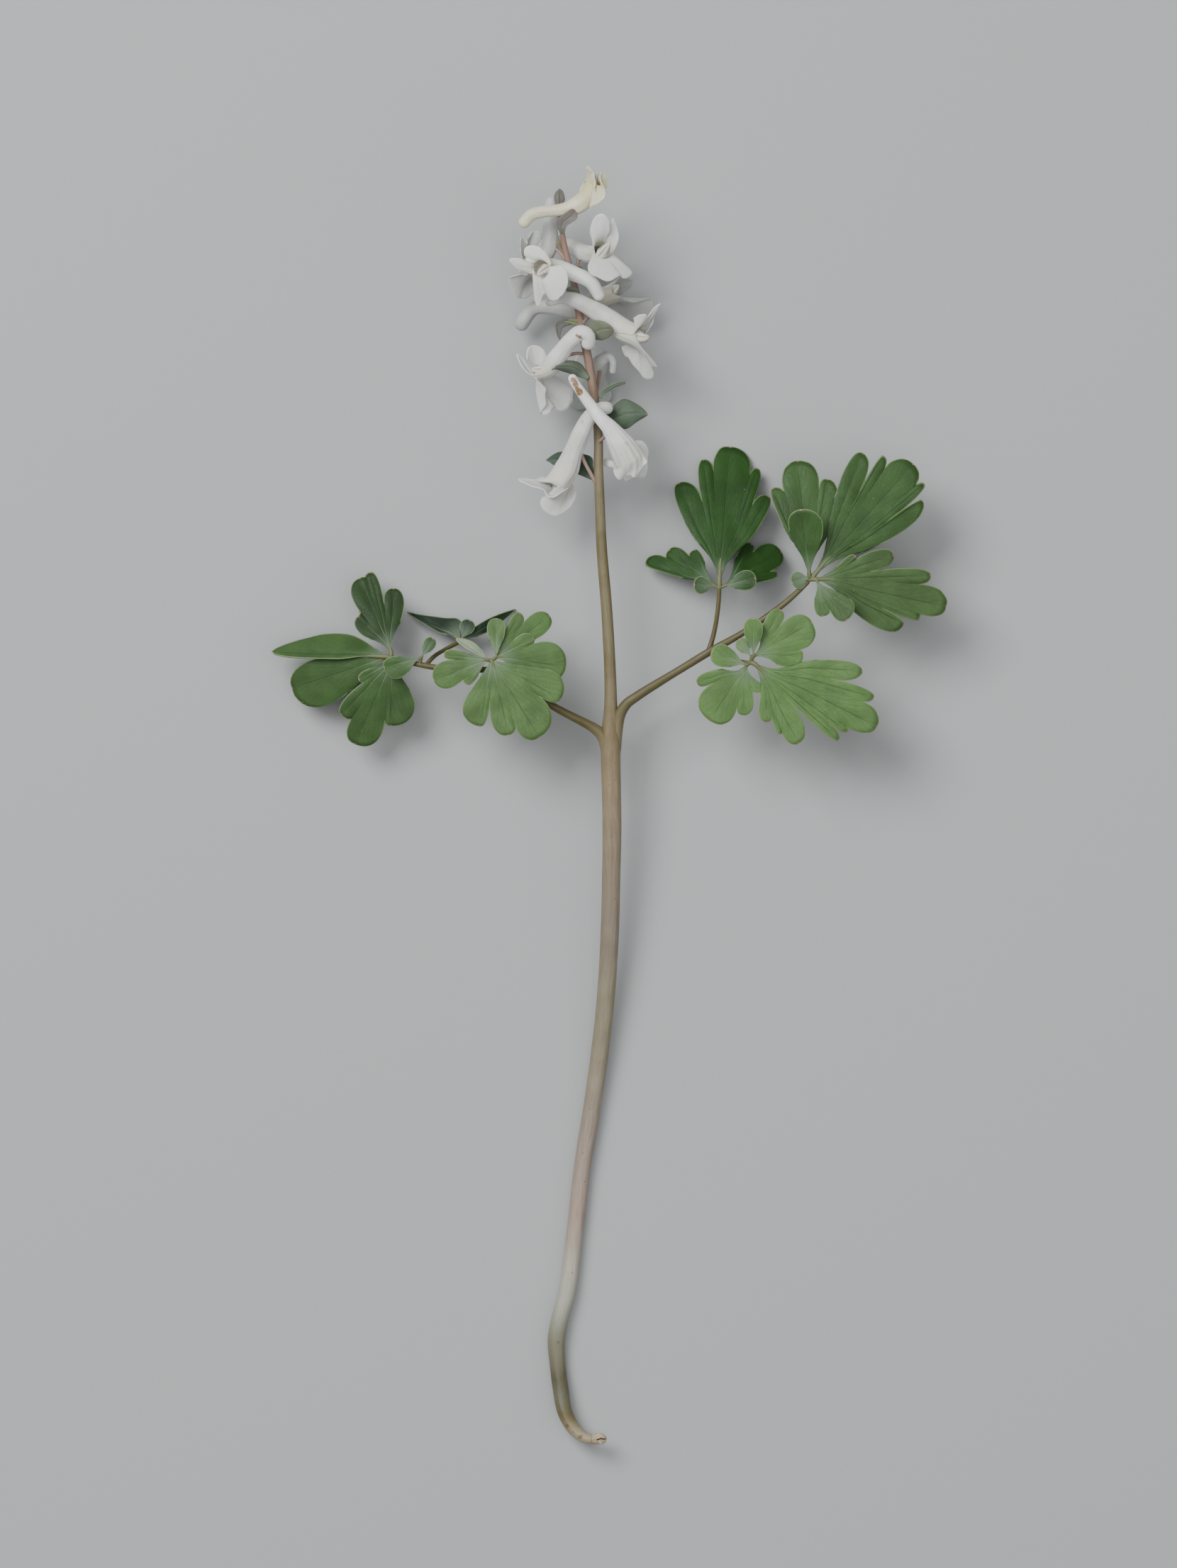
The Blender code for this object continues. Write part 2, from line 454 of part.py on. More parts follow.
def lip_rings(frame, sign, tips):
    """Rings that flare from the mouth's half circle to a lip with two lobes."""
    place, _radius, forward, _upward, sideways = frame
    throat = shell_ring(frame, sign)[:RING_HALF]
    first, second = (Vector(tip) for tip in tips)
    if (first - second).dot(sideways) < 0.0:
        first, second = second, first
    notch = (first + second) * 0.5
    notch = notch + (place - notch) * NOTCH_SHARE
    spread = (first - second) * LOBE_SPREAD
    rim = [first.lerp(throat[0], CORNER_SHARE) + spread, first, notch, second,
           second.lerp(throat[-1], CORNER_SHARE) - spread]
    reach = FLARE_REACH * (notch - place).length
    rings = []
    for step in range(1, LIP_STEPS + 1):
        t = step / LIP_STEPS
        row = []
        for start, end in zip(throat, rim):
            handle = start + forward * reach
            row.append(start * (1 - t) ** 2 + handle * 2 * t * (1 - t) + end * t ** 2)
        rings.append(row)
    rows = [throat] + rings
    walls = []
    for n in range(1, len(rows)):
        wall = []
        for k, point in enumerate(rows[n]):
            across = rows[n][min(k + 1, RING_HALF - 1)] - rows[n][max(k - 1, 0)]
            along = rows[min(n + 1, len(rows) - 1)][k] - rows[n - 1][k]
            normal = across.cross(along).normalized() * sign
            wall.append(point + normal * PETAL_THICKNESS)
        walls.append(rows[n] + list(reversed(wall)))
    return walls


def flower(number, plan):
    """The upper petal with its spur, the lower petal, and the pair of inner petals."""
    label = "flower_{:02d}".format(number)
    up = Vector(plan["up"])
    row = frames(plan["spine"], up)
    joint = plan["joint"]
    tip = row[0]
    rings = [round_ring(tip, SPUR_TIP_SCALE, -SPUR_TIP_REACH * tip[1])]
    rings += [round_ring(frame, 1.0, 0.0) for frame in row[:joint]]
    rings += [shell_ring(frame, 1) for frame in row[joint:]]
    upper = loft(label + "_upper_petal", rings + lip_rings(row[-1], 1, plan["upper"]))
    rings = [shell_ring(frame, -1) for frame in row[joint:]]
    lower = loft(label + "_lower_petal", rings + lip_rings(row[-1], -1, plan["lower"]))
    inner = loft(label + "_inner_petals",
                 [round_ring(row[-1], scale, shift) for scale, shift in INNER_PETALS])
    return [(upper, PETAL_WHITE), (lower, PETAL_WHITE), (inner, INNER_CREAM)]


def main():
    for old in list(bpy.data.objects):
        bpy.data.objects.remove(old)
    plant = bpy.data.collections.new("corydalis_flower")
    bpy.context.scene.collection.children.link(plant)

    axis = [tube("stem", STEM)]
    axis += [tube("pedicel", points) for points in PEDICELS]
    pieces = [(joined("stem", axis), STEM_TAN, 0.5)]
    for name, stalk in (("right_leaf_stalk", RIGHT_STALK), ("left_leaf_stalk", LEFT_STALK)):
        tubes = [tube(name + "_" + part, points) for part, points in stalk.items()]
        pieces.append((joined(name, tubes), STEM_TAN, 0.5))
    for name, plans in BLADES.items():
        colour = DEEP_GREEN if name in ("leaf_f", "leaf_a_middle") else GREEN
        pieces.append((leaflet(name, plans), colour, 0.55))
    for name, plan in BRACTS.items():
        pieces.append((blade(name, plan, BRACT_THICKNESS, BRACT_SAMPLES), BRACT_GREY, 0.55))
    for number, plan in enumerate(FLOWERS, start=1):
        pieces += [(petal, colour, 0.45) for petal, colour in flower(number, plan)]

    for piece, colour, roughness in pieces:
        finish(piece.name, colour, roughness, plant)


main()
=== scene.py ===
import math

import bmesh
import bpy
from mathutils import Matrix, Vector, kdtree, noise


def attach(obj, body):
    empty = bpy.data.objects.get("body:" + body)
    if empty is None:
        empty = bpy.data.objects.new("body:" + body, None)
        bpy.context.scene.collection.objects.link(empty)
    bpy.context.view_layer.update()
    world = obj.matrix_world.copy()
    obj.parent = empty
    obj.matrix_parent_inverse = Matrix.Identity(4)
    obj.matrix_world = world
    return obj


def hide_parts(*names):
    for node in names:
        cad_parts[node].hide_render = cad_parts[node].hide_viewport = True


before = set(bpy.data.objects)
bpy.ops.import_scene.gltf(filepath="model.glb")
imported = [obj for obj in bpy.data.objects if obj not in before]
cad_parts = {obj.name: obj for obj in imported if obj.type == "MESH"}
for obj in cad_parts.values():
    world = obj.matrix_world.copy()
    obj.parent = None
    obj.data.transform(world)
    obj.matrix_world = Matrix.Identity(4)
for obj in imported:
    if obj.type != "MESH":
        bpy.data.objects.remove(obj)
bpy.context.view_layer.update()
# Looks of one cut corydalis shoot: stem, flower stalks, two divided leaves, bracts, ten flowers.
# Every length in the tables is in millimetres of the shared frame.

scene = bpy.context.scene
mm = 0.001
mergeDistance = 0.000004  # metres; closes the seams and poles of a sheet
print("frame loaded:", len(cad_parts), "nodes")


def smoothLine(points, steps):
    rows = [Vector(point) for point in points]
    line = []
    for i in range(len(rows) - 1):
        before, start = rows[max(i - 1, 0)], rows[i]
        end, after = rows[i + 1], rows[min(i + 2, len(rows) - 1)]
        for step in range(steps):
            t = step / steps
            line.append(0.5 * (2 * start + (end - before) * t
                               + (2 * before - 5 * start + 4 * end - after) * t ** 2
                               + (3 * start - before - 3 * end + after) * t ** 3))
    line.append(rows[-1])
    return line


# the same line as count equal steps
def evenLine(line, count):
    lengths = [0.0]
    for near, far in zip(line, line[1:]):
        lengths.append(lengths[-1] + (far - near).length)
    result = []
    k = 0
    for i in range(count + 1):
        target = lengths[-1] * i / count
        while k < len(lengths) - 2 and lengths[k + 1] < target:
            k += 1
        share = (target - lengths[k]) / max(lengths[k + 1] - lengths[k], 1e-9)
        result.append(line[k].lerp(line[k + 1], min(max(share, 0.0), 1.0)))
    return result


def lengthOf(line):
    return sum((Vector(b[:3]) - Vector(a[:3])).length for a, b in zip(line, line[1:]))


def ease(value, low, high):
    t = min(max((value - low) / (high - low), 0.0), 1.0)
    return t * t * (3.0 - 2.0 * t)


def wobble(x, y, seed, size):
    return noise.noise(Vector((x / size, y / size, seed * 7.31)))


# a grid whose vertices are moved to place(column, row); paint gives both UV maps
def formSheet(columns, rows, place, paint):
    form = bmesh.new()
    lines = form.loops.layers.uv.new("lines")
    edges = form.loops.layers.uv.new("edges")
    bmesh.ops.create_grid(form, x_segments=columns, y_segments=rows, size=0.5)
    spots = {vert: (round((vert.co.x + 0.5) * columns), round((vert.co.y + 0.5) * rows))
             for vert in form.verts}
    for vert, spot in spots.items():
        vert.co = place(*spot) * mm
    for face in form.faces:
        near = min(spots[vert][0] for vert in face.verts)
        for loop in face.loops:
            loop[lines].uv, loop[edges].uv = paint(near, *spots[loop.vert])
    bmesh.ops.remove_doubles(form, verts=form.verts, dist=mergeDistance)
    bmesh.ops.recalc_face_normals(form, faces=form.faces)
    return form


def addPiece(name, form, material, node, thickness=0.0):
    mesh = bpy.data.meshes.new(name)
    form.to_mesh(mesh)
    form.free()
    mesh.shade_smooth()
    mesh.materials.append(material)
    piece = bpy.data.objects.new(name, mesh)
    scene.collection.objects.link(piece)
    if thickness:
        wall = piece.modifiers.new("thickness", "SOLIDIFY")
        wall.thickness = thickness * mm
        wall.offset = 0.0
    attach(piece, "root")
    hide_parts(node)


# place, radius, forward, up and side along a line, turning as little as possible
def followLine(line, up=(0.0, 0.0, 1.0)):
    result = []
    upward = Vector(up)
    for i, row in enumerate(line):
        here = Vector(row[:3])
        ahead = Vector(line[min(i + 1, len(line) - 1)][:3])
        behind = Vector(line[max(i - 1, 0)][:3])
        forward = (ahead - behind).normalized()
        upward = (upward - forward * upward.dot(forward)).normalized()
        result.append((here, row[3], forward, upward, forward.cross(upward)))
    return result


# an open sheet that lies with its upper side up
def faceUp(form):
    if sum(face.normal.z * face.calc_area() for face in form.faces) < 0:
        bmesh.ops.reverse_faces(form, faces=form.faces)


def tone(red, green, blue):
    linear = [(c / 255 / 12.92) if c / 255 < 0.04045 else ((c / 255 + 0.055) / 1.055) ** 2.4
              for c in (red, green, blue)]
    return (*linear, 1.0)


def shaded(colour, factor):
    return tone(*[c * factor for c in colour])


def feed(tree, made, sources):
    for place, source in sources.items():
        if isinstance(source, bpy.types.NodeSocket):
            tree.links.new(source, made.inputs[place])
        else:
            made.inputs[place].default_value = source


def put(tree, kind, sources, **settings):
    made = tree.nodes.new("ShaderNode" + kind)
    for key, value in settings.items():
        setattr(made, key, value)
    feed(tree, made, sources)
    return made


def calc(tree, operation, *sources):
    return put(tree, "Math", dict(enumerate(sources)), operation=operation).outputs[0]


def times(tree, first, second):
    return calc(tree, "MULTIPLY", first, second)


def uvOf(tree, layer):
    return put(tree, "UVMap", {}, uv_map=layer).outputs[0]


def partsOf(tree, source):
    return put(tree, "SeparateXYZ", {0: source}).outputs


# long streaks from a stretched noise over the UV of a tube
def streaksOf(tree, uv, plan):
    across, along, detail = plan["streaks"]
    place = put(tree, "CombineXYZ", {0: times(tree, uv[0], across),
                                     1: times(tree, uv[1], along)})
    return put(tree, "TexNoise", {"Vector": place.outputs[0], "Scale": 1.0,
                                  "Detail": detail}).outputs[0]


def blendTone(tree, share, first, second, way="MIX"):
    made = put(tree, "Mix", {0: share, 6: first, 7: second}, data_type="RGBA", blend_type=way)
    return made.outputs[2]


def range01(tree, value, low, high, outLow=0.0, outHigh=1.0):
    return put(tree, "MapRange", {0: value, 1: low, 2: high, 3: outLow, 4: outHigh},
               interpolation_type="SMOOTHSTEP").outputs[0]


def newMaterial(name, roughness):
    material = bpy.data.materials.new(name)
    material.use_nodes = True
    tree = material.node_tree
    shader = tree.nodes["Principled BSDF"]
    shader.inputs["Roughness"].default_value = roughness
    return material, tree, shader


def newGroup(name, inputs, outputs):
    group = bpy.data.node_groups.new(name, "ShaderNodeTree")
    for label, kind, value in inputs:
        socket = group.interface.new_socket(label, in_out="INPUT", socket_type=kind)
        if value is not None:
            socket.default_value = value
    for label in outputs:
        group.interface.new_socket(label, in_out="OUTPUT", socket_type="NodeSocketFloat")
    return group, group.nodes.new("NodeGroupInput"), group.nodes.new("NodeGroupOutput")


def useGroup(tree, group, sources):
    made = tree.nodes.new("ShaderNodeGroup")
    made.node_tree = group
    feed(tree, made, sources)
    return made.outputs


def spotsOf(tree, plan):
    patch, grain = plan["spots"]
    return useGroup(tree, mottle, {"Patch Size": patch, "Grain Size": grain})


# colour, bump and roughness, and the shader values that are the same all over a piece
def finishSkin(tree, shader, plan, body, relief, grain=None):
    strength, distance = plan["bump"]
    bump = put(tree, "Bump", {"Strength": strength, "Distance": distance, "Height": relief})
    feed(tree, shader, {"Base Color": body, "Normal": bump.outputs[0]})
    if grain is not None:
        feed(tree, shader, {"Roughness": range01(tree, grain, 0.3, 0.7, *plan["roughness"])})
    for name, value in plan["shader"].items():
        shader.inputs[name].default_value = value


# soft patches and fine grain, both from the object's own coordinates
def makeMottle():
    group, given, out = newGroup("mottle", [("Patch Size", "NodeSocketFloat", 300.0),
                                            ("Grain Size", "NodeSocketFloat", 2500.0)],
                                 ["Patches", "Grain"])
    where = group.nodes.new("ShaderNodeTexCoord").outputs["Object"]
    patches = put(group, "TexNoise", {"Vector": where, "Scale": given.outputs["Patch Size"],
                                      "Detail": 3.0})
    grain = put(group, "TexNoise", {"Vector": where, "Scale": given.outputs["Grain Size"],
                                    "Detail": 2.0})
    group.links.new(range01(group, patches.outputs[0], 0.32, 0.68), out.inputs["Patches"])
    group.links.new(grain.outputs[0], out.inputs["Grain"])
    return group


# a stained spot with a ragged edge around one point of the object
def makeStain():
    group, given, out = newGroup("stain", [("Centre", "NodeSocketVector", None),
                                           ("Radius", "NodeSocketFloat", 0.0006),
                                           ("Ragged", "NodeSocketFloat", 0.5)], ["Mask"])
    where = group.nodes.new("ShaderNodeTexCoord").outputs["Object"]
    away = put(group, "VectorMath", {0: where, 1: given.outputs["Centre"]},
               operation="DISTANCE").outputs["Value"]
    rough = put(group, "TexNoise", {"Vector": where, "Scale": 1400.0, "Detail": 3.0}).outputs[0]
    ragged = times(group, given.outputs["Ragged"], calc(group, "SUBTRACT", rough, 0.5))
    edge = times(group, given.outputs["Radius"], calc(group, "ADD", 1.0, ragged))
    share = calc(group, "DIVIDE", away, edge)
    group.links.new(range01(group, share, 1.1, 0.8), out.inputs["Mask"])
    return group


# fine parallel veins across a UV coordinate, wandering a little
def makeVeins():
    group, given, out = newGroup("veins", [("Across", "NodeSocketFloat", 0.0),
                                           ("Along", "NodeSocketFloat", 0.0),
                                           ("Count", "NodeSocketFloat", 30.0),
                                           ("Wander", "NodeSocketFloat", 0.6)], ["Lines"])
    place = put(group, "CombineXYZ", {0: times(group, given.outputs["Across"], 5.0),
                                      1: times(group, given.outputs["Along"], 0.35)})
    noisy = put(group, "TexNoise", {"Vector": place.outputs[0], "Scale": 1.0, "Detail": 2.0})
    drift = times(group, calc(group, "SUBTRACT", noisy.outputs[0], 0.5), given.outputs["Wander"])
    turn = calc(group, "ADD", times(group, given.outputs["Across"], given.outputs["Count"]), drift)
    wave = calc(group, "PINGPONG", turn, 0.5)
    group.links.new(range01(group, wave, 0.16, 0.02), out.inputs["Lines"])
    return group


mottle, stain, veins = makeMottle(), makeStain(), makeVeins()


leafFinish = {"vein": (38, 58, 40), "paleVein": (134, 152, 128), "margin": (138, 158, 112),
              "tip": (176, 126, 122), "bloom": (120, 138, 116), "speck": (176, 188, 166),
              "mainWidth": 0.10, "sideAngle": 0.34, "sideSpacing": 2.9, "sideBow": 3.0,
              "netShare": 0.07, "sideShare": 0.30, "mainShare": 0.4, "bloomShare": 0.5,
              "rimWidth": 0.2, "narrowRim": 0.13, "speckScale": 520.0,
              "spots": (230.0, 3600.0), "bump": (0.45, 0.00012), "roughness": (0.5, 0.62),
              "shader": {"Specular IOR Level": 0.28, "Subsurface Weight": 0.06,
                         "Subsurface Radius": (0.2, 0.5, 0.1), "Subsurface Scale": 0.0006}}


# lines UV is (mm across from the lobe's middle, mm from the base), edges UV is (mm to rim, to tip)
def bladeMaterial(name, colour, bloomReach, tip=None, margin=None, veining=1.0):
    plan = leafFinish
    material, tree, shader = newMaterial(name, plan["roughness"][0])
    flow = uvOf(tree, "lines")
    split, edge = partsOf(tree, flow), partsOf(tree, uvOf(tree, "edges"))
    spots = spotsOf(tree, plan)

    # the middle vein of each lobe, side veins that leave it in bows, and a fine net
    aside = calc(tree, "ABSOLUTE", split[0])
    width = plan["mainWidth"]
    main = times(tree, range01(tree, aside, width * 1.7, width * 0.3),
                 range01(tree, edge[1], 0.6, 4.0))
    drift = put(tree, "TexNoise", {"Vector": flow, "Scale": 0.5, "Detail": 1.0}).outputs[0]
    back = calc(tree, "SUBTRACT", split[1], calc(tree, "DIVIDE", aside, plan["sideAngle"]))
    back = calc(tree, "ADD", back, times(tree, drift, plan["sideBow"]))
    wave = calc(tree, "PINGPONG", calc(tree, "DIVIDE", back, plan["sideSpacing"]), 0.5)
    side = times(tree, range01(tree, wave, 0.045, 0.01), range01(tree, edge[0], 0.15, 0.8))
    net = useGroup(tree, veins, {"Across": times(tree, split[0], 0.6), "Along": split[1],
                                 "Count": 2.4, "Wander": 2.0})[0]

    body = blendTone(tree, spots["Patches"], shaded(colour, 0.94),
                     tone(*[min(c * 1.07 + 2, 255) for c in colour]))
    body = blendTone(tree, range01(tree, spots["Grain"], 0.35, 0.65, 0.0, 0.25), body,
                     shaded(colour, 0.88))
    grey = range01(tree, split[1], bloomReach, bloomReach * 0.15, 0.0, plan["bloomShare"])
    body = blendTone(tree, grey, body, tone(*plan["bloom"]))
    dark = tone(*plan["vein"])
    body = blendTone(tree, times(tree, net, plan["netShare"] * veining), body, dark)
    body = blendTone(tree, times(tree, side, plan["sideShare"] * veining), body, dark)
    near = range01(tree, split[1], bloomReach * 1.6, bloomReach * 0.5)
    veinTone = blendTone(tree, near, dark, tone(*plan["paleVein"]))
    body = blendTone(tree, times(tree, main, plan["mainShare"] * veining), body, veinTone)

    # pale rim, rosy lobe tips and a few pale specks
    rim = plan["rimWidth"] if veining == 1.0 else plan["narrowRim"]
    body = blendTone(tree, range01(tree, edge[0], rim, 0.3 * rim, 0.0, 0.6), body,
                     tone(*(margin or plan["margin"])))
    body = blendTone(tree, range01(tree, edge[1], 0.42, 0.16, 0.0, 0.8), body,
                     tone(*(tip or plan["tip"])))
    dots = put(tree, "TexVoronoi", {"Vector": put(tree, "TexCoord", {}).outputs["Object"],
                                    "Scale": plan["speckScale"]}, feature="F1")
    picked = put(tree, "SeparateColor", {0: dots.outputs["Color"]}).outputs[0]
    speck = times(tree, range01(tree, dots.outputs["Distance"], 0.06, 0.03),
                  range01(tree, picked, 0.80, 0.84, 0.0, 0.5))
    body = blendTone(tree, speck, body, tone(*plan["speck"]))

    relief = calc(tree, "ADD", times(tree, side, -0.5), times(tree, spots["Grain"], 0.7))
    relief = calc(tree, "ADD", times(tree, main, -0.8), relief)
    finishSkin(tree, shader, plan, body, relief, spots["Grain"])
    return material


# each leaf's own green; the upper e and f tones are darker than their own green as painted shade,
# where less light reaches those blades
leafTones = {"a": (34, 68, 20), "b": (52, 82, 37), "right b": (66, 92, 50), "c": (86, 118, 64),
             "d": (79, 108, 60), "e": (56, 84, 41), "shaded upper e": (36, 60, 25), "f": (20, 40, 22),
             "underside": (132, 142, 118)}
bloomReach = 5.0  # mm from the base over which a blade is greyish
leafMaterials = {key: bladeMaterial("leaf_" + key, colour, bloomReach)
                 for key, colour in leafTones.items()}


bladeShape = {"samples": 24, "rows": 18, "rimSamples": 44, "roundness": 0.84, "shoulder": 1.02,
              "pinch": 0.52, "pinchReach": 0.42, "fullWidth": 5.5, "jag": 0.008,
              "puff": 0.20, "groove": 0.05, "grooveWidth": 0.16, "waves": 0.42, "ripple": 0.16,
              "lift": 0.16, "thickness": 0.26}
edgeSteps = 6  # points on each stretch of rim that distances to it are measured from


# lobes: direction in degrees and length; cuts: the notches between them and both outer edges
def outlineOf(lobes, cuts, shape):
    outline = []
    for k, (angle, length) in enumerate(lobes):
        for s in range(1 if k else 0, shape["samples"] + 1):
            turn = math.pi * (s / shape["samples"] - 0.5)
            side = math.copysign(abs(math.sin(turn)) ** shape["roundness"], turn)
            cut = cuts[k + 1] if side > 0 else cuts[k]
            radius = cut[1] + (length - cut[1]) * abs(math.cos(turn)) ** shape["shoulder"]
            outline.append((math.radians(angle + (cut[0] - angle) * abs(side)), radius))
    return outline


# one free outline, given as angles and distances from the base, for a blade seen edge on
def freeOutline(rim, samples):
    spots = [(d * math.cos(math.radians(a)), d * math.sin(math.radians(a)), 0.0) for a, d in rim]
    turn = math.radians(max(rim, key=lambda spot: spot[1])[0])
    return [(turn + (math.atan2(p.y, p.x) - turn + math.pi) % (2 * math.pi) - math.pi, p.length)
            for p in evenLine(smoothLine(spots, 8), samples)]


def formBlade(plan, seed):
    shape = dict(bladeShape, **plan.get("shape", {}))
    samples, rows = shape["samples"], shape["rows"]
    if "rim" in plan:
        samples = shape["rimSamples"]
        lobes = [max(plan["rim"], key=lambda spot: spot[1])]
        cuts = [plan["rim"][0], plan["rim"][-1]]
        outline = freeOutline(plan["rim"], samples)
    else:
        lobes, cuts = plan["lobes"], plan["cuts"]
        outline = outlineOf(lobes, cuts, shape)
    columns = len(lobes) * samples
    middle = math.radians(0.5 * (cuts[0][0] + cuts[-1][0]))
    longest = max(length for _angle, length in lobes)
    # narrow lobes are flatter than broad ones
    full = [min(1.0, math.radians(cuts[k + 1][0] - cuts[k][0]) * lobe[1] / shape["fullWidth"])
            for k, lobe in enumerate(lobes)]
    base = Vector(plan["base"])

    def flat(i, t):
        direction, radius = outline[i]
        reach = radius * t
        free = ease(reach, 0.0, shape["pinchReach"] * longest)
        narrow = shape["pinch"] + (1 - shape["pinch"]) * free
        direction = middle + (direction - middle) * narrow
        jag = 1.0 + shape["jag"] * t * wobble(radius * math.cos(direction),
                                              radius * math.sin(direction), seed, 1.7)
        return Vector((math.cos(direction), math.sin(direction))) * reach * jag

    tree = kdtree.KDTree(columns * edgeSteps + 1)
    for i in range(columns):
        for s in range(edgeSteps):
            spot = flat(i, 1.0).lerp(flat(i + 1, 1.0), s / edgeSteps)
            tree.insert((spot.x, spot.y, 0.0), i)
    tree.balance()

    def place(i, j):
        t = j / rows
        spot = flat(i, t)
        k = min(i // samples, len(lobes) - 1)
        turn = math.pi * ((i - k * samples) / samples - 0.5)
        side = abs(math.sin(turn)) ** shape["roundness"]
        share = t * outline[i][1] / lobes[k][1]
        cut = cuts[k + 1] if turn > 0 else cuts[k]
        parted = ease(t * outline[i][1], 0.62 * cut[1], 1.05 * cut[1])
        far = spot.length
        z = plan["slope"][0] * spot.x + plan["slope"][1] * spot.y - plan["droop"] * far * far
        groove = shape["groove"] * math.exp(-(side / shape["grooveWidth"]) ** 2)
        z -= groove * ease(far, 0.6, 2.5) * full[k]
        z += shape["puff"] * math.sin(math.pi * min(side, 1.0)) * parted * 0.5 * full[k]
        z -= shape["puff"] * side ** 3 * parted * 0.8
        z += shape["lift"] * (1 if k % 2 else -1) * ease(share, 0.6, 1.0) * (1 - side ** 4)
        loose = ease(far, 1.0, 8.0)
        x, y = spot.x + base.x, spot.y + base.y
        z += loose * shape["waves"] * wobble(x, y, seed, 7.0)
        z += loose * shape["ripple"] * wobble(x, y, seed + 3, 2.4)
        return Vector((base.x + spot.x, base.y + spot.y, base.z + z))

    def paint(near, i, j):
        direction, radius = outline[i]
        reach = radius * j / rows
        spot = flat(i, j / rows)
        away = tree.find((spot.x, spot.y, 0.0))[2]
        lobe = lobes[near // samples]
        aside = direction - math.radians(lobe[0])
        across = reach * aside
        fromTip = math.hypot(lobe[1] - reach * math.cos(aside), across)
        return (across, reach), (away, fromTip)

    form = formSheet(columns, rows, place, paint)
    faceUp(form)
    return form, shape["thickness"]


